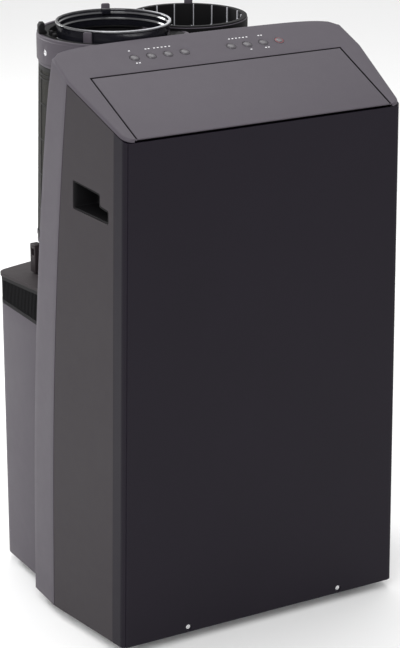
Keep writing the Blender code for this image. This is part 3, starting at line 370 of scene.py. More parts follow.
def metal(name, colour, roughness):
    """Worked metal: fine drawn lines along one direction, stains and brighter edges from wear."""
    mat, tree, shader, position = start_material(name, metallic=1.0)
    stretched = node(tree, "Mapping", Vector=position, Scale=(900.0, 900.0, 12.0)).outputs[0]
    lines = noise(stretched, 1.0, 2.0)
    stain = noise(position, 45.0, 5.0, 0.65)
    change = plus(swing(lines, 0.08), swing(stain, 0.15))
    change = plus(change, times(edge_mask(tree, 0.6 * MM), 0.3))
    tint(shader, colour, change)
    rough = plus(roughness, swing(stain, 0.12))
    tree.links.new(rough, shader.inputs["Roughness"])
    bump(shader, lines, 0.02 * MM, 0.5)
    return mat


def zinc(name, colour):
    """Zinc-plated sheet with its crystal spangle."""
    mat, tree, shader, position = start_material(name, metallic=0.9)
    cells = node(tree, "TexVoronoi", Vector=position, Scale=140.0)
    tone = node(tree, "SeparateXYZ", Vector=cells.outputs["Color"]).outputs[0]
    stain = noise(position, 12.0, 5.0)
    tint(shader, colour, plus(swing(tone, 0.16), swing(stain, 0.2)))
    tree.links.new(plus(0.42, swing(tone, 0.1)), shader.inputs["Roughness"])
    bump(shader, cells.outputs["Distance"], 0.02 * MM, 0.3)
    return mat


def rubber_material(name, colour):
    mat, tree, shader, position = start_material(name)
    fine = noise(position, 700.0, 3.0)
    scuff = noise(position, 90.0, 5.0, 0.7)
    dusty = times(minus(scuff, 0.52, clamp=True), 4.0)
    tint(shader, colour, plus(swing(fine, 0.15), dusty))
    tree.links.new(plus(0.68, swing(scuff, 0.12)), shader.inputs["Roughness"])
    bump(shader, fine, 0.06 * MM, 0.7)
    return mat


def printed(name, colour):
    """Pad-printed ink, slightly uneven."""
    mat, tree, shader, position = start_material(name)
    tint(shader, colour, swing(noise(position, 1500.0, 2.0), 0.15))
    shader.inputs["Roughness"].default_value = 0.6
    return mat


def board(name, colour):
    """Printed circuit board with copper tracks under its green mask."""
    mat, tree, shader, position = start_material(name)
    brick = node(tree, "TexBrick", Vector=position, Scale=90.0)
    brick.inputs["Color1"].default_value = (*colour, 1.0)
    brick.inputs["Color2"].default_value = (colour[0] * 1.6, colour[1] * 1.4, colour[2] * 1.3, 1.0)
    brick.inputs["Mortar"].default_value = (0.02, 0.06, 0.03, 1.0)
    tree.links.new(brick.outputs["Color"], shader.inputs["Base Color"])
    shader.inputs["Roughness"].default_value = 0.35
    bump(shader, brick.outputs["Fac"], 0.03 * MM)
    return mat


def fins_material(name, colour):
    """Stacked aluminium fins."""
    mat, tree, shader, position = start_material(name, metallic=1.0)
    across = node(tree, "SeparateXYZ", Vector=position).outputs["X"]
    fins = combine("SINE", times(across, tau / (1.8 * MM)))
    stain = noise(position, 30.0, 4.0)
    tint(shader, colour, plus(times(fins, 0.25), swing(stain, 0.15)))
    shader.inputs["Roughness"].default_value = 0.4
    bump(shader, fins, 0.4 * MM)
    return mat


def painted_highlight_ring(name, dark, light, toward):
    """Gloss plastic painted light over the part of a ring that faces `toward`, an angle in degrees: a
    painted highlight.
    """
    mat, tree, shader, position = start_material(name)
    axes = node(tree, "SeparateXYZ", Vector=position)
    turn = radians(toward)
    facing = plus(times(axes.outputs["X"], cos(turn)), times(axes.outputs["Y"], sin(turn)))
    # Painted highlight mask: 1 where the ring faces `toward`, fading to the dark colour round the back.
    highlight_mask = plus(combine("DIVIDE", facing, 40 * MM), 0.35, clamp=True)
    scuff = noise(position, 160.0, 4.0, 0.65)
    highlight_mask = times(highlight_mask, plus(0.7, swing(scuff, 0.45)), clamp=True)
    mix = node(tree, "Mix")
    mix.data_type = "RGBA"
    tree.links.new(highlight_mask, mix.inputs["Factor"])
    mix.inputs[6].default_value = (*dark, 1.0)
    mix.inputs[7].default_value = (*light, 1.0)
    tree.links.new(mix.outputs[2], shader.inputs["Base Color"])
    tree.links.new(plus(0.25, swing(scuff, 0.1)), shader.inputs["Roughness"])
    bump(shader, scuff, 0.02 * MM, 0.5)
    return mat


# Side panels: the shell's grey darkened, painted shade on the flat sides.
shaded_side_grey = plastic("shaded_side_grey", (0.0310, 0.0262, 0.0298), 0.52, specular=0.2)
shell_grey = plastic("shell_grey", (0.0700, 0.0610, 0.0745), 0.48, specular=0.22)
# The shell's grey darkened: painted shade on the rear lid beside the column and band, also used on the
# cord post.
shadowed_grey = plastic("shadowed_grey", (0.0270, 0.0215, 0.0235), 0.58, specular=0.15)
front_black = plastic("front_black", (0.0082, 0.0060, 0.0110), 0.36, grain=700.0, depth=0.02 * MM,
                      mottle=0.04, wear=0.9, dust=0.14, specular=0.15)
gloss_black = plastic("gloss_black", (0.010, 0.010, 0.014), 0.14, depth=0.01 * MM, wear=1.2, coat=1.0,
                      specular=0.6)
dull_black = plastic("dull_black", (0.0055, 0.0053, 0.0060), 0.60, wear=0.8, dust=0.3, specular=0.10)
# Light grey ribs, made lighter still to paint the highlight the thin ribs catch.
lit_rib_grey = plastic("lit_rib_grey", (0.42, 0.42, 0.45), 0.40)
button_plastic = plastic("button_plastic", (0.060, 0.054, 0.063), 0.22, depth=0.02 * MM, specular=0.6)
gauze = woven("gauze", (0.020, 0.019, 0.016), 1.3 * MM)
frame_grey = plastic("frame_grey", (0.012, 0.0115, 0.0115), 0.5, specular=0.15)
bright_steel = metal("bright_steel", (0.68, 0.68, 0.69), 0.24)
can_enamel = plastic("can_enamel", (0.02, 0.02, 0.022), 0.36, grain=300.0, wear=1.5, coat=0.3)
galvanised = zinc("galvanised", (0.50, 0.51, 0.52))
rubber = rubber_material("rubber", (0.022, 0.022, 0.023))
board_green = board("board_green", (0.02, 0.10, 0.04))
fin_metal = fins_material("fin_metal", (0.70, 0.71, 0.72))
# The adaptor's lip: light on its front-right side and black at the back, a painted highlight.
lip_painted_highlight = painted_highlight_ring("lip_painted_highlight", (0.012, 0.012, 0.015), (0.62, 0.62, 0.66), -57)
white_ink = printed("white_ink", (0.80, 0.80, 0.82))
red_ink = printed("red_ink", (0.30, 0.035, 0.045))


# ---------------------------------------------------------------- mesh helpers

def box_bm(low, high):
    bm = bmesh.new()
    bmesh.ops.create_cube(bm, size=1.0)
    size = Vector(high) - Vector(low)
    bmesh.ops.scale(bm, vec=size, verts=bm.verts)
    bmesh.ops.translate(bm, vec=(Vector(high) + Vector(low)) / 2, verts=bm.verts)
    return bm


def prism_bm(outline, low, high):
    """Extrudes a closed outline, given as XY points, from one height to another."""
    bm = bmesh.new()
    face = bm.faces.new([bm.verts.new((p[0], p[1], low)) for p in outline])
    top = bmesh.ops.extrude_face_region(bm, geom=[face])["geom"]
    moved = [v for v in top if isinstance(v, bmesh.types.BMVert)]
    bmesh.ops.translate(bm, vec=(0, 0, high - low), verts=moved)
    bmesh.ops.recalc_face_normals(bm, faces=bm.faces)
    return bm


def turned_bm(profile, steps, closed=False):
    """Spins a profile of (radius, height) points about Z."""
    bm = bmesh.new()
    verts = [bm.verts.new((r, 0, z)) for r, z in profile]
    edges = [bm.edges.new(pair) for pair in zip(verts, verts[1:])]
    if closed:
        edges.append(bm.edges.new((verts[-1], verts[0])))
    bmesh.ops.spin(bm, geom=verts + edges, cent=(0, 0, 0), axis=(0, 0, 1),
                   angle=tau, steps=steps, use_merge=True)
    bmesh.ops.remove_doubles(bm, verts=bm.verts, dist=1e-6)
    bmesh.ops.recalc_face_normals(bm, faces=bm.faces)
    return bm


def drum(radius, low, high, steps=96):
    return turned_bm([(0, low), (radius, low), (radius, high), (0, high)], steps)


def loft_bm(rows, outward):
    """A grid of points as quads, facing the way outward(centre) points."""
    bm = bmesh.new()
    grid = [[bm.verts.new(p) for p in row] for row in rows]
    for lower, upper in zip(grid, grid[1:]):
        for j in range(len(lower) - 1):
            bm.faces.new((lower[j], lower[j + 1], upper[j + 1], upper[j]))
    face_outward(bm, outward)
    return bm


def face_outward(bm, outward):
    bm.normal_update()
    if sum(f.normal.dot(outward(f.calc_center_median())) * f.calc_area() for f in bm.faces) < 0:
        bmesh.ops.reverse_faces(bm, faces=bm.faces)


def joined(bms):
    """Merges bmeshes that are already in place."""
    return gather(*[(bm, Matrix.Identity(4)) for bm in bms])


def gather(*parts):
    """Merges (bmesh, matrix) pairs into one bmesh."""
    merged = bmesh.new()
    for bm, matrix in parts:
        bmesh.ops.transform(bm, matrix=matrix, verts=bm.verts)
        mesh = bpy.data.meshes.new("part")
        bm.to_mesh(mesh)
        bm.free()
        merged.from_mesh(mesh)
        bpy.data.meshes.remove(mesh)
    return merged


def rounded(profile, radius, steps=4):
    """Rounds the inner corners of an open or closed profile of 2-D points, as large as each fits."""
    points = [Vector(p) for p in profile]
    result = []
    last = len(points)
    for i, p in enumerate(points):
        a, b = points[i - 1] - p, points[(i + 1) % last] - p
        reach = min(radius, a.length * 0.45, b.length * 0.45)
        start, end = p + a.normalized() * reach, p + b.normalized() * reach
        for n in range(steps + 1):
            t = n / steps
            result.append(start * (1 - t) ** 2 + p * 2 * t * (1 - t) + end * t ** 2)
    return result


def lathe_section(profile, radius, steps=3):
    """A closed section for turned_bm with its corners rounded."""
    return [(p.x, p.y) for p in rounded(profile, radius, steps)]


class Piece:
    """One visible object while it is being modelled; settle() fixes its mesh and its CAD body."""

    def __init__(self, name, bm, mat, matrix=None):
        mesh = bpy.data.meshes.new(name)
        bm.to_mesh(mesh)
        bm.free()
        mesh.materials.append(mat)
        self.obj = bpy.data.objects.new(name, mesh)
        self.obj.matrix_world = matrix or Matrix.Identity(4)
        bpy.context.scene.collection.objects.link(self.obj)
        self.cutters = []

    def wall(self, thickness=WALL):
        thick = self.obj.modifiers.new("Wall", "SOLIDIFY")
        thick.thickness = thickness
        thick.offset = -1.0
        thick.use_even_offset = True
        return self

    def cut(self, bm, matrix=None):
        cutter = Piece(self.obj.name + "_cutter", bm, self.obj.data.materials[0], matrix).obj
        cutter.hide_render = True
        boolean = self.obj.modifiers.new("Cut", "BOOLEAN")
        boolean.object = cutter
        boolean.solver = "EXACT"
        self.cutters.append(cutter)
        return self

    def edges(self, width, segments=3, angle=38):
        bevel = self.obj.modifiers.new("Edges", "BEVEL")
        bevel.width = width
        bevel.segments = segments
        bevel.limit_method = "ANGLE"
        bevel.angle_limit = radians(angle)
        bevel.use_clamp_overlap = True
        return self

    def settle(self, body="root", replaces=(), slot=None, smooth=40, weighted=False):
        bpy.context.view_layer.update()
        graph = bpy.context.evaluated_depsgraph_get()
        mesh = bpy.data.meshes.new_from_object(self.obj.evaluated_get(graph))
        self.obj.modifiers.clear()
        self.obj.data = mesh
        mesh.shade_smooth()
        mesh.set_sharp_from_angle(angle=radians(smooth))
        for cutter in self.cutters:
            bpy.data.objects.remove(cutter)
        if weighted:
            self.obj.modifiers.new("Shading", "WEIGHTED_NORMAL").keep_sharp = True
        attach(self.obj, body)
        if replaces:
            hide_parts(*replaces)
        return self.obj


# ---------------------------------------------------------------- casing

# Angle round the corner and depth below it, in pairs: a fine groove parts the corner from the face.
CORNER_SECTION = [(a, 0.0) for a in range(0, 60, 10)] + [
    (60, 0.0), (64, 0.5 * MM), (68, 1.0 * MM), (72, 0.5 * MM), (76, 0.0), (83, 0.0), (90, 0.0)]


def front_panel():
    """Wrap-round front cover with rounded upright corners, each set off by a fine groove."""
    half = [(RETURN_DEPTH, 0.0), (18 * MM, 0.0), (13 * MM, 0.0)]
    for angle, dip in CORNER_SECTION:
        a, r = radians(angle), FRONT_CORNER - dip
        half.append((FRONT_CORNER - r * sin(a), FRONT_CORNER - r * cos(a)))

    def row(t):
        strip = []
        for depth, tuck in half:
            margin = ROOF_EDGE + SEAM if depth > FRONT_CORNER else TOP_GAP
            h = t * (roof_height(depth) - margin)
            strip.append((side_half(max(depth, FRONT_CORNER), h) - tuck, depth, h))
        left = [at(-x, d, h) for x, d, h in strip]
        right = [at(x, d, h) for x, d, h in reversed(strip)]
        return left + right

    bm = loft_bm([row(t) for t in spread(0, 1, 8)], lambda p: Vector((p.x, -1.0, 0)))
    panel = Piece("front_panel_look", bm, front_black).wall(3 * MM)
    for side in ("left", "right"):
        low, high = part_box(f"front_screw_{side}")
        place = vertical((low.x + high.x) / 2, 0, SCREW_H) @ Matrix.Rotation(-pi / 2, 4, "X")
        panel.cut(drum(4.5 * MM, -10 * MM, 10 * MM, 40), place)
    panel.edges(0.8 * MM).settle(replaces=["front_panel"], slot="gloss_black", weighted=True)


def screw(name, cad_node, matrix, radius):
    """Pan-head screw with a cross recess; its head's flat side sits at the matrix's origin."""
    dome = [(radius * cos(a), 1.2 * MM * sin(a)) for a in turns(0, 90, 8)]
    head = Piece(name, turned_bm([(0, -6 * MM), (radius * 0.5, -6 * MM), (radius * 0.5, 0)] + dome, 40),
                 bright_steel, matrix)
    slot_half = (radius * 0.62, radius * 0.13)
    for a, b in (slot_half, slot_half[::-1]):
        head.cut(box_bm((-a, -b, 0.45 * MM), (a, b, 3 * MM)), matrix)
    head.edges(0.12 * MM, 2).settle(replaces=[cad_node], slot="steel")


def handle_outline(inset, steps):
    """L-shaped opening of the carrying handle: (depth, height) points, forward step at the top."""
    i = inset
    corners = [(113.5 * MM - i, 590.4 * MM + i), (35.5 * MM + i, 586.8 * MM + i),
               (35.5 * MM + i, 604.5 * MM - i), (54.0 * MM + i, 607.8 * MM - i),
               (54.0 * MM + i, 623.2 * MM - i), (113.5 * MM - i, 629.0 * MM - i)]
    return rounded(corners, max(3.4 * MM - i * 0.3, 1 * MM), steps)


def side_panel(side, label):
    """Flat flared side with the handle opening; its rear edge follows the crease."""
    near = RETURN_DEPTH + GAP

    def far(t):
        return crease_depth(t * (roof_height(ROOF_FRONT) - ROOF_EDGE)) - SEAM

    def corner(d, t):
        return d, t * (roof_height(d) - ROOF_EDGE - SEAM)

    outline = [corner(near, 0)] + [corner(far(t), t) for t in spread(0, 1, 48)] + [corner(near, 1)]
    bm = bmesh.new()
    bm.faces.new([bm.verts.new(at(side * side_half(d, h), d, h)) for d, h in outline])
    face_outward(bm, lambda p: Vector((side, 0, 0)))
    # The panel's darker grey is painted shade.
    panel = Piece(f"side_panel_{label}_look", bm, shaded_side_grey).wall()
    opening = prism_bm([(p.x, p.y) for p in handle_outline(0, 6)], 0.18, 0.26)
    panel.cut(opening, mirrored_side(side))
    panel.edges(0.7 * MM).settle(replaces=[f"side_panel_{label}"], slot="panel_grey", smooth=30,
                                 weighted=True)


def mirrored_side(side):
    """Placement that takes (depth, height, distance out) to the casing's left or right side."""
    turn = Matrix(((0, 0, side, 0), (1, 0, 0, 0), (0, 1, 0, 0), (0, 0, 0, 1)))
    return Matrix.Translation(at(0, 0, 0)) @ turn


def handle_cup(side, label):
    """Finger pocket with a rolled lip and a rounded floor."""
    def ring(inset, depth):
        return [at(side * (side_half(p.x, p.y) - depth), p.x, p.y) for p in handle_outline(inset, 5)]

    wall = 2 * MM
    rings = [ring(GAP + wall + 4 * MM, HANDLE_DEPTH - wall)]
    for turn in turns(80, 0, 4):
        rings.append(ring(GAP + wall + 4 * MM * (1 - cos(turn)),
                          HANDLE_DEPTH - wall - 4 * MM * (1 - sin(turn))))
    lip = [(wall, 6 * MM), (wall, 1.0 * MM), (wall - 0.6 * MM, 0.3 * MM), (0.6 * MM, 0.2 * MM),
           (0, 0.9 * MM), (0, HANDLE_DEPTH)]
    rings += [ring(GAP + inset, depth) for inset, depth in lip]
    bm = bmesh.new()
    loops = [[bm.verts.new(p) for p in points] for points in rings]
    count = len(loops[0])
    for a, b in zip(loops, loops[1:]):
        for i in range(count):
            bm.faces.new((a[i], a[(i + 1) % count], b[(i + 1) % count], b[i]))
    bm.faces.new(loops[0])
    bm.faces.new(loops[-1])
    bmesh.ops.recalc_face_normals(bm, faces=bm.faces)
    Piece(f"handle_cup_{label}_look", bm, dull_black).settle(
        replaces=[f"handle_cup_{label}"], slot="matt_black")


def shell_grid():
    """Surface of the roof, both bands and the two arms beside the flap, before it is thickened."""
    band = [("band", t) for t in spread(0, 1, 48)]
    fillet = [("fillet", a) for a in turns(15, 90, 5)]
    roof_x = [209 * MM, 200 * MM, FLAP_HALF + FLAP_GAP] + spread(180 * MM, 10 * MM, 17)
    left = band + fillet + [("roof", x) for x in roof_x]
    stations = [(-1, s) for s in left] + [(1, s) for s in reversed(left)]

    def front_depth(kind, value):
        return crease_depth(value * roof_height(ROOF_FRONT_LINE)) if kind == "band" else ROOF_FRONT

    def rear_depth(kind, value):
        if kind == "roof":
            return roof_rear_depth(value)
        return band_rear_depth(roof_height(BAND_TOP_DEPTH) * (value if kind == "band" else 1))

    def flange(side, kind, value):
        return DEEP_FLANGE[side] if kind == "band" and 0.6 < value < 0.93 else FLANGE

    def point(side, kind, value, d, inward=0.0):
        edge = side_half(d, roof_height(d) - ROOF_EDGE)
        if kind == "band":
            h = value * (roof_height(d) - ROOF_EDGE)
            return at(side * (side_half(d, h) - inward), d, h)
        if kind == "fillet":
            x = edge - ROOF_EDGE + (ROOF_EDGE - inward) * cos(value)
            h = roof_height(d) - ROOF_EDGE + (ROOF_EDGE - inward) * sin(value)
            return at(side * x, d, h)
        return at(side * min(value, edge - ROOF_EDGE), d, roof_height(d) - inward)

    rows = []
    for v in spread(0, 1, 6):
        row = []
        for side, (kind, value) in stations:
            near, far = front_depth(kind, value), rear_depth(kind, value) - REAR_ROUND
            row.append(point(side, kind, value, near + v * (far - near)))
        rows.append(row)
    for a in turns(15, 90, 5):
        back, inward = REAR_ROUND * (1 - sin(a)), REAR_ROUND * (1 - cos(a))
        rows.append([point(side, kind, value, rear_depth(kind, value) - back, inward)
                     for side, (kind, value) in stations])
    rows.append([point(side, kind, value, rear_depth(kind, value), flange(side, kind, value))
                 for side, (kind, value) in stations])
    bm = bmesh.new()
    grid = [[bm.verts.new(p) for p in row] for row in rows]
    for lower, upper in zip(grid, grid[1:]):
        for j in range(len(stations) - 1):
            bm.faces.new((lower[j], upper[j], upper[j + 1], lower[j + 1]))

    arm = [("band", 1.0)] + fillet + [("roof", x) for x in roof_x[:3]]
    corner = 13 * MM
    depths = [corner * (1 - cos(a)) for a in turns(0, 90, 8)] + [45 * MM, 85 * MM]
    for side in (-1, 1):
        previous = [grid[0][stations.index((side, s))] for s in arm]
        for d in reversed(depths):
            reach = max(corner - d, 0.0)
            tuck = corner - sqrt(max(corner ** 2 - reach ** 2, 0.0))
            limit = side_half(d, roof_height(d)) - tuck
            fresh = []
            for kind, value in arm:
                p = point(side, kind, value, d)
                shift = tuck if kind != "roof" else max(abs(p.x) - (limit - ROOF_EDGE), 0.0)
                fresh.append(bm.verts.new(p - Vector((side * shift, 0, 0))))
            for j in range(len(arm) - 1):
                bm.faces.new((previous[j], fresh[j], fresh[j + 1], previous[j + 1]))
            previous = fresh
    bmesh.ops.remove_doubles(bm, verts=bm.verts, dist=1e-5)
    bmesh.ops.recalc_face_normals(bm, faces=bm.faces)
    face_outward(bm, lambda p: Vector((p.x, 0, 0.2)))
    return bm


def button_nodes():
    """CAD nodes of the buttons from left to right, with their centre's x."""
    found = [(sum(c.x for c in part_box(n)) / 2, n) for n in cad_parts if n.startswith("button_")]
    return sorted(found)


def main_shell():
    shell = Piece("main_shell_look", shell_grid(), shell_grey).wall()
    for x, _ in button_nodes():
        shell.cut(drum(BUTTON_HOLE, -10 * MM, 10 * MM, 48), roof_matrix(x, BUTTON_SLOPE))
    shell.edges(0.7 * MM).settle(replaces=["main_shell"], slot="shell_grey", smooth=30)


def flap():
    """Outlet cover with a chamfered front lip and a thick rear edge, and the dark strips round it:
    painted shade in the gaps.
    """
    section = [(0.0, 0.0), (FLAP_END, 0.0), (FLAP_END, -9 * MM), (FLAP_END - 10 * MM, -9 * MM),
               (FLAP_END - 16 * MM, -4 * MM), (6 * MM, -4 * MM), (0.0, -2.2 * MM)]
    bm = prism_bm([(p.x, p.y) for p in rounded(section, 0.9 * MM, 3)], -FLAP_HALF, FLAP_HALF)
    lid = Piece("flap_look", bm, shell_grey, roof_matrix() @ STAND)
    lid.edges(0.7 * MM).settle("flap", replaces=["flap"], slot="shell_grey", smooth=30)
    # Dark strips under the gaps round the flap: painted shade.
    gap_shade_strips("flap_gap_shade", FLAP_HALF, FLAP_END, -8.5 * MM).settle("flap")
    gap_shade_strips("opening_gap_shade", FLAP_HALF + FLAP_GAP, FLAP_END + FLAP_GAP, -2.6 * MM).settle()


def gap_shade_strips(name, half, back, rear_low):
    """Three dark strips just under the roof's face, painting shade into a gap: two sides and a rear one
    down to `rear_low`.
    """
    thick, top = 0.5 * MM, -0.8 * MM
    strips = [box_bm((side * half - thick, 2 * MM, -2.6 * MM), (side * half + thick, back, top))
              for side in (-1, 1)]
    strips.append(box_bm((-half, back - thick, rear_low), (half, back + thick, top)))
    return Piece(name, joined(strips), dull_black, roof_matrix())


def button_body(cad_node, x):
    """Round domed button standing in a plain collar."""
    r, top = BUTTON_RADIUS, BUTTON_PROUD
    dome = r - 1.3 * MM
    profile = [(dome * sin(a), top - 1.3 * MM * (1 - cos(a))) for a in turns(0, 90, 10)]
    profile += [(dome + 0.25 * MM, top - 1.5 * MM), (r - 0.5 * MM, top - 1.1 * MM), (r, top - 1.5 * MM)]
    profile += [(r, -3.5 * MM), (2.2 * MM, -3.5 * MM), (2.2 * MM, -8 * MM), (0, -8 * MM)]
    place = roof_matrix(x, BUTTON_SLOPE)
    Piece(cad_node + "_look", turned_bm(profile, 48), button_plastic, place).settle(
        cad_node, replaces=[cad_node], slot="button_grey", smooth=35)


# Printed dashes by the buttons: count, pitch, sideways shift and distance up the slope.
BUTTON_DASHES = {
    "timer": [(1, 0.0, 0.0, 16.5 * MM), (2, 4.4 * MM, 0.0, -12 * MM)],
    "sleep": [(2, 4.7 * MM, 1.8 * MM, 16.5 * MM)],
    "mode": [(5, 5.75 * MM, -1.5 * MM, 16.5 * MM)],
    "warmer": [(6, 5.5 * MM, -6.0 * MM, 16.5 * MM), (1, 0.0, 0.0, -12 * MM)],
    "swing": [(2, 4.5 * MM, 3.5 * MM, 16.5 * MM), (2, 4.4 * MM, 0.0, -12 * MM)],
}


def button_marks():
    """Rows of plain printed dashes above and below the buttons, and the power button's red ring."""
    thick = 0.12 * MM
    for x, cad_node in button_nodes():
        parts = []
        for count, pitch, shift, slope in BUTTON_DASHES.get(cad_node.removeprefix("button_"), ()):
            for n in range(count):
                along = x + shift + (n - (count - 1) / 2) * pitch
                dash = box_bm((-1.25 * MM, -0.8 * MM, 0), (1.25 * MM, 0.8 * MM, thick))
                parts.append((dash, roof_matrix(along, BUTTON_SLOPE + slope, -0.02 * MM)))
        if parts:
            Piece("mark_" + cad_node, gather(*parts), white_ink).settle()
    power_x = button_nodes()[-1][0]
    r, width, height = 5.2 * MM, 0.8 * MM, 0.16 * MM
    halo = turned_bm([(r, 0), (r + width, 0), (r + width, height), (r, height)], 64, closed=True)
    place = roof_matrix(power_x, BUTTON_SLOPE, BUTTON_PROUD - 1.35 * MM)
    Piece("power_ring", halo, red_ink, place).settle("button_power")


# ---------------------------------------------------------------- lower rear box

def box_outline():
    """Plan of the lower box's wall from its left front edge round the back to the right one."""
    turn = radians(BOX_TURN)
    reach = BOX_HALF - BOX_CORNER * (1 - cos(turn))
    centre = (BOX_HALF - BOX_CORNER, BOX_DEPTH - BOX_BOW * reach ** 2 - BOX_CORNER * sin(turn))
    right = arc(centre, BOX_CORNER, 0, BOX_TURN, 14)
    back = [Vector((x, BOX_DEPTH - BOX_BOW * x ** 2)) for x in spread(reach, 0, 20)[1:]]
    half = right + back
    left = [Vector((-p.x, p.y)) for p in half[:-1]]
    return left + list(reversed(half))


def lid_height(d):
    return LID_HEIGHT - LID_SLOPE * (d - LID_DEPTH)


def on_back_wall(x, h, out):
    """Placement that stands `out` off the curved back wall and points straight away from it."""
    lean = Matrix.Rotation(-atan(2 * BOX_BOW * x), 4, "Z")
    place = Matrix.Translation(at(x, BOX_DEPTH - BOX_BOW * x ** 2, h)) @ lean
    return place @ Matrix.Translation((0, out, 0)) @ Matrix.Rotation(-pi / 2, 4, "X")


def rear_housing():
    outline = box_outline()

    def row(h):
        start = band_rear_depth(h) + SEAM
        return ([at(-BOX_HALF, start, h)] + [at(p.x, p.y, h) for p in outline]
                + [at(BOX_HALF, start, h)])

    bm = loft_bm([row(h) for h in spread(0, GRILLE_BOTTOM, 16)], lambda p: Vector((p.x, p.y, 0)))
    wall = Piece("rear_housing_look", bm, shell_grey).wall()
    for x, h, radius in ((0, DRAIN_H, 9 * MM), (CORD_X, CORD_H, 8.5 * MM)):
        wall.cut(drum(radius, -CUT_REACH, CUT_REACH, 40), on_back_wall(x, h, 0))
    wall.edges(0.8 * MM, angle=50).settle(replaces=["rear_housing"], slot="shell_grey", smooth=30)


def walk(path, pitch):
    """Evenly spaced (point, direction) pairs along a plan path."""
    found = []
    carried = pitch / 2
    for a, b in zip(path, path[1:]):
        length = (b - a).length
        while carried < length:
            found.append((a.lerp(b, carried / length), (b - a).normalized()))
            carried += pitch
        carried -= length
    return found


def rear_grille():
    """Fine upright slats between two rails."""
    outline = box_outline()
    start = band_rear_depth(GRILLE_BOTTOM) + SEAM
    path = [Vector((-BOX_HALF, start))] + outline + [Vector((BOX_HALF, start))]
    bottom = GRILLE_BOTTOM + GAP
    depth, rail = 4 * MM, 5 * MM

    def top(p):
        return lid_height(p.y) - LID_THICKNESS - GAP

    def rail_bm(low, high, inset):
        inner = [p * (1 - inset / p.length) for p in path]
        rows = [[at(p.x, p.y, low(p)) for p in path], [at(p.x, p.y, high(p)) for p in path],
                [at(p.x, p.y, high(q)) for p, q in zip(inner, path)],
                [at(p.x, p.y, low(q)) for p, q in zip(inner, path)]]
        rows.append(rows[0])
        bm = loft_bm(rows, lambda p: Vector((0, 0, 0)))
        bmesh.ops.remove_doubles(bm, verts=bm.verts, dist=1e-6)
        bmesh.ops.holes_fill(bm, edges=[e for e in bm.edges if e.is_boundary], sides=4)
        bmesh.ops.recalc_face_normals(bm, faces=bm.faces)
        return bm

    parts = [(rail_bm(lambda p: bottom, lambda p: bottom + rail, depth), Matrix.Identity(4)),
             (rail_bm(lambda p: top(p) - rail, top, depth), Matrix.Identity(4))]
    for p, way in walk(path, SLAT_PITCH):
        angle = atan2(way.y, way.x)
        place = Matrix.Translation(at(p.x, p.y, 0)) @ Matrix.Rotation(angle, 4, "Z")
        slat = [(-0.9 * MM, -depth), (0.9 * MM, -depth), (0.9 * MM, -0.9 * MM), (0.4 * MM, -0.3 * MM),
                (-0.4 * MM, -0.3 * MM), (-0.9 * MM, -0.9 * MM)]
        parts.append((prism_bm(slat, bottom + rail / 2, top(p) - rail / 2), place))
    Piece("rear_grille_look", gather(*parts), dull_black).settle(
        replaces=["rear_grille"], slot="matt_black", smooth=30)


def rear_top_cover():
    """Sloping lid with a rounded rim and its two duct openings."""
    grow = 1.006
    outline = [Vector((p.x * grow, p.y * (1 + (grow - 1) * 0.5))) for p in box_outline()]
    front_d = band_rear_depth(LID_HEIGHT) + SEAM
    outline = [Vector((-BOX_HALF * grow, front_d))] + outline + [Vector((BOX_HALF * grow, front_d))]
    bm = prism_bm([at(p.x, p.y, 0) for p in outline], 0, LID_THICKNESS)
    for v in bm.verts:
        v.co.z += lid_height(v.co.y + DEPTH / 2) - LID_THICKNESS + CLEARANCE
    # The lid's darker grey is painted shade.
    lid = Piece("rear_top_cover_look", bm, shadowed_grey)
    for centre, radius in ((LEFT_PORT, EXHAUST_RADIUS + GAP), (RIGHT_PORT, INTAKE_RADIUS + GAP)):
        lid.cut(drum(radius, -0.05, 0.05, 64), vertical(centre.x, centre.y, LID_HEIGHT))
    lid.edges(1.3 * MM).settle(replaces=["rear_top_cover"], slot="shell_grey", smooth=30)


def drain_plug():
    r = 12 * MM
    section = [(0, -10 * MM), (8.6 * MM, -10 * MM), (8.6 * MM, 0), (r, 0), (r, 1.3 * MM),
               (r - 1 * MM, 2 * MM), (r * 0.55, 2 * MM), (r * 0.45, 1.2 * MM), (0, 1.2 * MM)]
    plug = Piece("drain_plug_look", turned_bm(section, 48), rubber, on_back_wall(0, DRAIN_H, 0.3 * MM))
    plug.edges(0.25 * MM, 2).settle("drain_plug", replaces=["drain_plug"], slot="rubber")


def cord_gland():
    """Moulded gland with a stepped nose round the empty cord bore."""
    section = [(4 * MM, -9 * MM), (8.1 * MM, -9 * MM), (8.1 * MM, 0), (11 * MM, 0), (11 * MM, 2.2 * MM),
               (8 * MM, 2.8 * MM), (7.2 * MM, 4.2 * MM), (6.6 * MM, 4.2 * MM), (6 * MM, 6.8 * MM),
               (4 * MM, 6.8 * MM)]
    gland = Piece("cord_gland_look", turned_bm(section, 48, closed=True), rubber,
                  on_back_wall(CORD_X, CORD_H, 0.4 * MM))
    gland.edges(0.25 * MM, 2).settle(replaces=["cord_gland"], slot="rubber")


def cord_hook():
    low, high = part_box("cord_hook")
    size = (high - low) / 2
    middle = Matrix.Translation((low + high) / 2)
    post = Piece("cord_hook_look", box_bm(-size, size), shadowed_grey, middle)
    slot = box_bm((-CUT_REACH, -0.004, size.z - 17 * MM), (CUT_REACH, 0.004, size.z - 7 * MM))
    post.cut(slot, middle)
    post.edges(1.6 * MM, 4).settle(replaces=["cord_hook"], slot="shell_grey", smooth=30)


# ---------------------------------------------------------------- column and ports

def drum_radius(h):
    """Radius of the left drum: drafted wider from its top to the filter's foot, then stepped in."""
    if h <= FOOT_TOP:
        return LEFT_DRUM
    return LEFT_DRUM + DRUM_DRAFT * max(FILTER_TOP - h, 0.0)


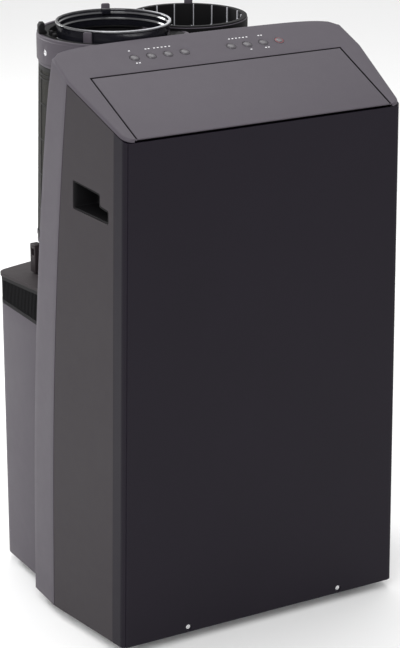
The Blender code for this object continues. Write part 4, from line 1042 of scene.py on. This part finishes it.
def column_outline(left_r, right_r, front):
    """Plan of the column: round the left drum, straight across the back, round the right drum."""
    along = RIGHT_PORT - LEFT_PORT
    tilt = degrees(atan2(along.y, along.x))
    tangent = tilt + degrees(acos((left_r - right_r) / along.length))
    start = 180 + degrees(asin((LEFT_PORT.y - front) / left_r))
    points = arc(LEFT_PORT, left_r, start, tangent, 40)
    points += arc(RIGHT_PORT, right_r, tangent, 0, 20)
    points.append(Vector((RIGHT_PORT.x + right_r + 22 * MM, front)))
    return points


def column_shell():
    def row(h):
        points = []
        for p in column_outline(drum_radius(h), RIGHT_DRUM, COLUMN_FRONT):
            foot = BOX_DEPTH - BOX_BOW * p.x ** 2 - COLUMN_SET_IN
            d = min(p.y, foot + COLUMN_LEAN * max(h - LID_HEIGHT, 0.0))
            points.append(at(p.x, d, h if h > 0 else lid_height(d) + GAP))
        return points

    heights = [0, FOOT_TOP] + spread(FOOT_TOP + 4 * MM, CAP_BOTTOM - 1 * MM - GAP, 7)
    middle = at(*((LEFT_PORT + RIGHT_PORT) / 2), 0)
    surface = loft_bm([row(h) for h in heights], lambda p: Vector((p.x - middle.x, p.y - middle.y, 0)))
    shell = Piece("column_shell_look", surface, shell_grey).wall()
    slack = degrees(0.6 * MM / LEFT_DRUM)
    wedge = [Vector((0, 0))] + arc((0, 0), 140 * MM, FILTER_FROM - slack, FILTER_TO + slack, 12)
    shell.cut(prism_bm(wedge, FILTER_BOTTOM - GAP, FILTER_TOP + GAP), LEFT_AXIS)
    shell.edges(0.7 * MM, angle=50).settle(replaces=["column_shell"], slot="shell_grey", smooth=30)


def curved_bar(out, thickness, start, end, low, high, steps):
    """Part of the left drum's drafted wall as a closed solid, standing `out` off the drum."""
    base, tip = drum_radius(low) + out, drum_radius(high) + out
    plan = arc((0, 0), 1.0, start, end, steps)
    inner = [(p, -thickness) for p in reversed(plan)]
    section = [(p, 0.0) for p in plan] + inner
    bm = bmesh.new()
    rings = []
    for h, radius in ((low, base), (high, tip)):
        rings.append([bm.verts.new((p.x * (radius + t), p.y * (radius + t), h)) for p, t in section])
    count = len(section)
    for i in range(count):
        k = (i + 1) % count
        bm.faces.new((rings[0][i], rings[0][k], rings[1][k], rings[1][i]))
    for i in range(steps):
        for ring in rings:
            bm.faces.new((ring[i], ring[i + 1], ring[count - 2 - i], ring[count - 1 - i]))
    bmesh.ops.recalc_face_normals(bm, faces=bm.faces)
    return bm


def column_filter():
    """Pull-off filter: gauze in a ribbed frame, all following the drum's curve."""
    low, high = FILTER_BOTTOM + GAP, FILTER_TOP - GAP
    place = LEFT_AXIS
    border = degrees(4 * MM / LEFT_DRUM)
    level = -0.2 * MM
    wide = 5 * MM
    bars = [curved_bar(level, 2 * MM, FILTER_FROM, FILTER_FROM + border, low, high, 2),
            curved_bar(level, 2 * MM, FILTER_TO - border, FILTER_TO, low, high, 2)]
    for h, tall in [(low, wide), (high - wide, wide)] + [
            (h, 1.4 * MM) for h in spread(low + 48 * MM, high - 53 * MM, 3)]:
        bars.append(curved_bar(level, 2 * MM, FILTER_FROM, FILTER_TO, h, h + tall, 30))
    for a in spread(FILTER_FROM, FILTER_TO, 5)[1:-1]:
        bars.append(curved_bar(level, 2 * MM, a - 0.35, a + 0.35, low, high, 1))
    for h in (high - 12 * MM, high - 18 * MM):
        bars.append(curved_bar(level, 2 * MM, FILTER_FROM, FILTER_TO, h, h + 2 * MM, 30))
    bars.append(curved_bar(0.9 * MM, 1.6 * MM, 158, 168, low + 8 * MM, low + 14 * MM, 6))
    frame_piece = Piece("filter_frame", joined(bars), frame_grey, place)
    frame_piece.settle("column_filter", replaces=["column_filter"], slot="filter_mesh", smooth=30)
    cloth = curved_bar(level - 0.7 * MM, 0.4 * MM, FILTER_FROM + 0.5, FILTER_TO - 0.5,
                       low + 1 * MM, high - 1 * MM, 40)
    Piece("filter_gauze", cloth, gauze, place).settle("column_filter", slot="filter_mesh", smooth=30)


def column_cap():
    """Grey cap: a deck carrying a high left collar with an inner shelf and a lower right one; black
    pieces paint shade in the left recess, on the right collar's front and along the roof's edge.
    """
    left, right = LEFT_AXIS, RIGHT_AXIS
    rim, right_rim = LEFT_DRUM + CAP_OVERHANG, RIGHT_DRUM + CAP_OVERHANG
    low = CAP_BOTTOM - 1 * MM
    top = LEFT_COLLAR_TOP
    under = LEFT_SHELF - WALL
    grey = [(COLLAR_SPLIT, under), (rim - WALL, under), (rim - WALL, low), (rim, low),
            (rim, top - 4.2 * MM), (rim - 0.7 * MM, top - 3.6 * MM), (rim - 0.7 * MM, top),
            (COLLAR_SPLIT, top)]
    # Inner part of the left collar, round the adaptor, in black: painted shade in the recess.
    black = [(LEFT_HOLE, under), (COLLAR_SPLIT, under), (COLLAR_SPLIT, top - 1.2 * MM),
             (LEFT_RECESS, top - 1.2 * MM), (LEFT_RECESS, LEFT_SHELF), (LEFT_HOLE, LEFT_SHELF)]
    along = RIGHT_PORT - LEFT_PORT
    towards_right = left @ Matrix.Rotation(atan2(along.y, along.x), 4, "Z")
    for name, section, mat in (("cap_left_collar", grey, shell_grey),
                               ("cap_left_recess_shade", black, dull_black)):
        collar = Piece(name, turned_bm(lathe_section(section, 0.9 * MM), 128, closed=True), mat, left)
        gate = box_bm((ADAPTOR_GATE, -0.2, LEFT_SHELF + 0.3 * MM),
                      (0.3, 0.2, RIGHT_COLLAR_TOP + 20 * MM))
        collar.cut(gate, towards_right)
        collar.cut(drum(RIGHT_DRUM + 0.5 * MM, low - 5 * MM, LEFT_COLLAR_TOP + 5 * MM), right)
        if mat is shell_grey:
            collar.cut(drum(4.6 * MM, -20 * MM, 20 * MM, 40), screw_matrix(-1 * MM))
        collar.cut(box_bm((-0.3, -0.3, low - 10 * MM), (0.3, CAP_FRONT, 0.9)), vertical(0, 0))
        collar.edges(0.35 * MM, 2, 60).settle(replaces=["column_cap"] if mat is shell_grey else (),
                                              slot="shell_grey", smooth=35)

    section = [(RIGHT_HOLE, low), (right_rim, low), (right_rim, RIGHT_COLLAR_TOP),
               (RIGHT_HOLE, RIGHT_COLLAR_TOP)]
    second = Piece("cap_right_collar", turned_bm(lathe_section(section, 1.1 * MM), 112, closed=True),
                   shell_grey, right)
    second.cut(drum(ADAPTOR_RADIUS + 0.6 * MM, LEFT_SHELF, ADAPTOR_TOP), left)
    second.cut(drum(LEFT_HOLE, low - 5 * MM, ADAPTOR_TOP), left)
    second.edges(0.35 * MM, 2, 60).settle(slot="shell_grey", smooth=35)

    grow = CAP_OVERHANG - 1 * MM
    outline = column_outline(LEFT_DRUM + grow, RIGHT_DRUM + grow, CAP_FRONT)
    deck = Piece("cap_deck", prism_bm(outline, CAP_BOTTOM, DECK_TOP), shell_grey, vertical(0, 0))
    deck.cut(drum(LEFT_RECESS + 10 * MM, CAP_BOTTOM - CUT_REACH, DECK_TOP + CUT_REACH), left)
    deck.cut(drum(RIGHT_HOLE + 1 * MM, CAP_BOTTOM - CUT_REACH, DECK_TOP + CUT_REACH), right)
    deck.edges(0.5 * MM, 2).settle(slot="shell_grey", smooth=30)

    # Painted shadow: a black strip along the roof's rear edge, between the deck and the right collar's
    # black front.
    strip = box_bm((-20 * MM, 198.5 * MM, DECK_TOP), (171 * MM, 264 * MM, DECK_TOP + 1.5 * MM))
    shadow_strip = Piece("roof_shadow_strip", strip, dull_black, vertical(0, 0))
    shadow_strip.cut(drum(rim + 0.6 * MM, DECK_TOP - CUT_REACH, DECK_TOP + CUT_REACH), left)
    shadow_strip.cut(drum(right_rim + 0.8 * MM, DECK_TOP - CUT_REACH, DECK_TOP + CUT_REACH), right)
    shadow_strip.settle(smooth=30)
    # Painted shade: a black band round the front of the right collar, below its grey top edge.
    plan = arc((0, 0), right_rim + 0.5 * MM, RIGHT_SHADE_FROM, RIGHT_SHADE_TO, 60)
    plan += arc((0, 0), right_rim + 0.05 * MM, RIGHT_SHADE_TO, RIGHT_SHADE_FROM, 60)
    Piece("cap_right_shade", prism_bm(plan, DECK_TOP, RIGHT_COLLAR_TOP - 1.2 * MM), dull_black,
          right).settle(smooth=30)

    hooks = ((left, 70, 82.3 * MM, LEFT_SHELF, 801 * MM), (left, -142, 82.3 * MM, LEFT_SHELF, 793 * MM),
             (right, 60, 81 * MM, RIGHT_COLLAR_TOP, 784 * MM))
    for n, (port, angle, radius, foot, height) in enumerate(hooks):
        half = 1.7 * MM
        outline = [(-6 * MM, foot - 1 * MM), (6 * MM, foot - 1 * MM), (6 * MM, height - 1.5 * MM),
                   (4.5 * MM, height), (-4.5 * MM, height), (-6 * MM, height - 1.5 * MM)]
        place = swivel(port, angle) @ Matrix.Translation((radius, 0, 0)) @ STAND
        hook = Piece(f"cap_hook_{n + 1}", prism_bm(outline, -half, half), shell_grey, place)
        hook.edges(0.6 * MM, 3).settle(slot="shell_grey", smooth=30)


def screw_matrix(out):
    """Placement of the cap screw, pointing away from the left port towards the left front."""
    a = radians(CAP_SCREW_ANGLE)
    radius = LEFT_DRUM + CAP_OVERHANG + out
    place = at(LEFT_PORT.x + radius * cos(a), LEFT_PORT.y + radius * sin(a), CAP_SCREW_H)
    return Matrix.Translation(place) @ Matrix.Rotation(a, 4, "Z") @ Matrix.Rotation(pi / 2, 4, "Y")


def hose_adaptor():
    """Glossy coupling: top lip with a painted highlight, two inner thread ridges, a foot bead and one
    inner tab.
    """
    top, low = ADAPTOR_TOP, LEFT_SHELF + GAP
    inner = LEFT_HOLE
    outer = ADAPTOR_RADIUS
    section = [(outer, low), (outer, low + 2.4 * MM), (outer - 1.1 * MM, low + 3.2 * MM),
               (outer - 1.1 * MM, top - 3.6 * MM), (outer, top - 2.8 * MM), (outer, top - 0.8 * MM),
               (outer - 0.9 * MM, top), (inner + 0.6 * MM, top), (inner, top - 0.8 * MM)]
    for n in range(2):
        crest = top - (6 + 8 * n) * MM
        section += [(inner, crest + 1.6 * MM), (inner - 1.6 * MM, crest), (inner, crest - 1.6 * MM)]
    section.append((inner, low))
    ring = turned_bm(lathe_section(section, 0.5 * MM, 2), 144, closed=True)
    place = LEFT_AXIS
    Piece("hose_adaptor_look", ring, gloss_black, place).settle(
        "hose_adaptor", replaces=["hose_adaptor"], slot="gloss_black", smooth=50)
    # Top lip whose light front-right side is a painted highlight.
    lip = [(inner + 0.2 * MM, top - 0.5 * MM), (inner + 0.2 * MM, top + 0.3 * MM),
           (outer - 0.4 * MM, top + 0.3 * MM), (outer - 0.1 * MM, top - 1.9 * MM),
           (outer - 0.6 * MM, top - 1.9 * MM)]
    Piece("adaptor_lip", turned_bm(lathe_section(lip, 0.25 * MM, 2), 144, closed=True), lip_painted_highlight,
          place).settle("hose_adaptor", smooth=50)
    tab = box_bm((inner - 4.2 * MM, -6 * MM, top - 7 * MM), (inner - 2 * MM, 6 * MM, top + 1.5 * MM))
    Piece("adaptor_tab", tab, gloss_black, swivel(place, 70)).edges(
        0.5 * MM).settle("hose_adaptor", smooth=40)


def hose_latch():
    """Lock block on the collar's left end, and its two small keepers."""
    place = swivel(LEFT_AXIS, LATCH_ANGLE)
    foot, top = LEFT_COLLAR_TOP + 0.3 * MM, LEFT_COLLAR_TOP + 15 * MM
    side = [(93 * MM, foot), (104 * MM, foot), (104 * MM, top - 4 * MM), (101.5 * MM, top),
            (96 * MM, top), (96 * MM, foot + 5 * MM), (93 * MM, foot + 3.4 * MM)]
    turn = Matrix(((1, 0, 0, 0), (0, 0, -1, 0), (0, 1, 0, 0), (0, 0, 0, 1)))
    block = Piece("hose_latch_look", prism_bm(side, -7 * MM, 7 * MM), dull_black, place @ turn)
    block.edges(0.9 * MM, 3).settle(replaces=["hose_latch"], slot="matt_black", smooth=30)
    for n, (angle, tall) in enumerate(((176, 6.5 * MM), (183, 4.5 * MM))):
        stub = box_bm((88.6 * MM, -3.4 * MM, LEFT_COLLAR_TOP - 0.2 * MM),
                      (93.5 * MM, 3.4 * MM, LEFT_COLLAR_TOP + tall))
        keeper = Piece(f"latch_keeper_{n + 1}", stub, dull_black, swivel(LEFT_AXIS, angle))
        keeper.edges(0.8 * MM, 3).settle(smooth=30)


def intake_guard():
    """Black liner whose lip covers the collar's top, with light upright ribs standing inside it."""
    place = RIGHT_AXIS
    low, lip = GUARD_LOW, RIGHT_COLLAR_TOP + 0.3 * MM
    liner = [(77 * MM, low), (77 * MM, lip), (84 * MM, lip), (84 * MM, lip + 1.4 * MM),
             (76.2 * MM, lip + 1.4 * MM), (76.2 * MM, low)]
    Piece("intake_liner", turned_bm(lathe_section(liner, 0.3 * MM), 112, closed=True), dull_black,
          place).cut(drum(ADAPTOR_RADIUS + 1.6 * MM, lip - 5 * MM, ADAPTOR_TOP + 1 * MM),
                     LEFT_AXIS).settle(smooth=40)
    parts = [(turned_bm([(76.4 * MM, low), (76.4 * MM, low + 5 * MM), (71 * MM, low + 5 * MM),
                         (71 * MM, low)], 96, closed=True), Matrix.Identity(4))]
    for n in range(GUARD_BARS):
        turn = Matrix.Rotation(tau * n / GUARD_BARS + RIB_START, 4, "Z")
        rib = [(74.2 * MM, -0.35 * MM), (76.5 * MM, -0.8 * MM), (76.5 * MM, 0.8 * MM),
               (74.2 * MM, 0.35 * MM)]
        parts.append((prism_bm(rib, low + 4 * MM, lip + 1.6 * MM), turn))
    Piece("intake_guard_look", gather(*parts), lit_rib_grey, place).settle(
        replaces=["intake_guard"], slot="shell_grey", smooth=40)


# ---------------------------------------------------------------- running gear

def caster(end, hand):
    """Caster wheel: a rubber tyre on a moulded hub. Its fork stays the CAD node."""
    name = f"{end}_{hand}"
    low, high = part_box(f"caster_wheel_{name}")
    centre = (low + high) / 2
    radius, half = (high.z - low.z) / 2, (high.x - low.x) / 2
    axle = Matrix.Translation(centre) @ Matrix.Rotation(pi / 2, 4, "Y")
    tyre = [(radius - 5 * MM, -half), (radius - 1.6 * MM, -half), (radius, -half + 2.2 * MM),
            (radius, half - 2.2 * MM), (radius - 1.6 * MM, half), (radius - 5 * MM, half)]
    ring = turned_bm(lathe_section(tyre, 1.2 * MM), 64, closed=True)
    Piece(f"tyre_{name}", ring, rubber, axle).settle(
        f"caster_wheel_{name}", replaces=[f"caster_wheel_{name}"], slot="rubber", smooth=45)
    bore = 3.3 * MM
    hub = [(bore, -half), (6 * MM, -half), (6.6 * MM, -half + 2.5 * MM),
           (radius - 6 * MM, -half + 3 * MM),
           (radius - 4.8 * MM, -half + 0.6 * MM), (radius - 4.8 * MM, half - 0.6 * MM),
           (radius - 6 * MM, half - 3 * MM), (6.6 * MM, half - 2.5 * MM), (6 * MM, half), (bore, half)]
    core = turned_bm(lathe_section(hub, 0.5 * MM, 2), 48, closed=True)
    Piece(f"hub_{name}", core, dull_black, axle).settle(f"caster_wheel_{name}", slot="rubber", smooth=45)


def improve_cad():
    """Materials and slightly rounded edges for the CAD nodes that stay as they are."""
    looks = {
        "base_pan": galvanised, "divider_deck": galvanised, "flap_hinge_rod": bright_steel,
        "flap_motor": dull_black, "outlet_duct": dull_black, "vane_link": dull_black,
        "exhaust_duct": dull_black, "intake_duct": dull_black, "control_board": board_green,
        "compressor": can_enamel, "accumulator": can_enamel, "condenser": fin_metal,
        "evaporator": fin_metal, "condenser_blower_wheel": dull_black,
        "evaporator_blower_wheel": dull_black, "condenser_blower_motor": bright_steel,
        "evaporator_blower_motor": bright_steel,
    }
    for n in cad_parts:
        if n.startswith("vane_"):
            looks[n] = dull_black
        if n.startswith("caster_fork_"):
            looks[n] = galvanised
    for name, mat in looks.items():
        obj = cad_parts[name]
        obj.data.materials.clear()
        obj.data.materials.append(mat)
        if name.startswith(("vane_", "caster_fork_", "outlet", "flap_motor")):
            merge = obj.modifiers.new("Merge", "WELD")
            merge.merge_threshold = 0.00001
            bevel = obj.modifiers.new("Edges", "BEVEL")
            bevel.width = 0.3 * MM
            bevel.segments = 2
            bevel.limit_method = "ANGLE"
            bevel.angle_limit = radians(38)


# ---------------------------------------------------------------- surroundings

def lay_stage():
    bm = bmesh.new()
    bmesh.ops.create_grid(bm, x_segments=1, y_segments=1, size=12.0)
    mesh = bpy.data.meshes.new("floor")
    bm.to_mesh(mesh)
    bm.free()
    floor = bpy.data.objects.new("floor", mesh)
    floor.location.z = cad_box[0].z
    mat = bpy.data.materials.new("floor")
    mat.use_nodes = True
    shader = mat.node_tree.nodes["Principled BSDF"]
    shader.inputs["Base Color"].default_value = (0.93, 0.93, 0.93, 1.0)
    shader.inputs["Roughness"].default_value = 0.85
    mesh.materials.append(mat)
    bpy.context.scene.collection.objects.link(floor)


def area_light(name, place, aim, size, power):
    data = bpy.data.lights.new(name, "AREA")
    data.shape = "RECTANGLE"
    data.size, data.size_y = size
    data.energy = power
    lamp = bpy.data.objects.new(name, data)
    lamp.location = place
    lamp.rotation_euler = (Vector(aim) - Vector(place)).to_track_quat("-Z", "Y").to_euler()
    bpy.context.scene.collection.objects.link(lamp)


def light_studio():
    world = bpy.data.worlds.new("studio")
    world.use_nodes = True
    world.node_tree.nodes["Background"].inputs["Color"].default_value = (1.0, 1.0, 1.0, 1.0)
    world.node_tree.nodes["Background"].inputs["Strength"].default_value = 0.85
    bpy.context.scene.world = world
    bpy.context.scene.view_settings.view_transform = "Standard"
    middle = (0, 0, 0.45)
    area_light("key", (-1.6, -2.2, 2.6), middle, (2.0, 2.0), 45)
    area_light("rear_fill", (-2.4, 1.2, 1.8), middle, (1.6, 1.6), 10)
    area_light("rear_left", (-0.9, 2.4, 1.7), middle, (0.9, 0.9), 30)
    area_light("top", (0.5, 0.6, 3.0), middle, (2.0, 2.0), 25)


def set_camera():
    target = Vector((-0.1000, cad_box[0].y, 0.4593))
    azimuth, elevation, distance, roll = radians(-29.766), radians(19.461), 2.870, radians(0.12)
    back = Vector((sin(azimuth) * cos(elevation), -cos(azimuth) * cos(elevation), sin(elevation)))
    data = bpy.data.cameras.new("camera")
    data.lens = 122.08
    data.sensor_width = 36.0
    camera = bpy.data.objects.new("camera", data)
    camera.location = target + back * distance
    camera.rotation_mode = "QUATERNION"
    camera.rotation_quaternion = back.to_track_quat("Z", "Y") @ Quaternion((0, 0, 1), roll)
    bpy.context.scene.collection.objects.link(camera)
    bpy.context.scene.camera = camera


front_panel()
for side, label in ((-1, "left"), (1, "right")):
    side_panel(side, label)
    handle_cup(side, label)
    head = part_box(f"front_screw_{label}")
    screw(f"front_screw_{label}_look", f"front_screw_{label}",
          vertical((head[0].x + head[1].x) / 2, 2.0 * MM, SCREW_H) @ Matrix.Rotation(pi / 2, 4, "X"),
          4 * MM)
main_shell()
flap()
for centre_x, node_name in button_nodes():
    button_body(node_name, centre_x)
button_marks()

rear_housing()
rear_grille()
rear_top_cover()
drain_plug()
cord_gland()
cord_hook()

column_shell()
column_filter()
column_cap()
screw("cap_screw_look", "cap_screw", screw_matrix(-0.7 * MM), 4 * MM)
hose_adaptor()
hose_latch()
intake_guard()

for end in ("front", "rear"):
    for hand in ("left", "right"):
        caster(end, hand)
improve_cad()

lay_stage()
light_studio()
set_camera()
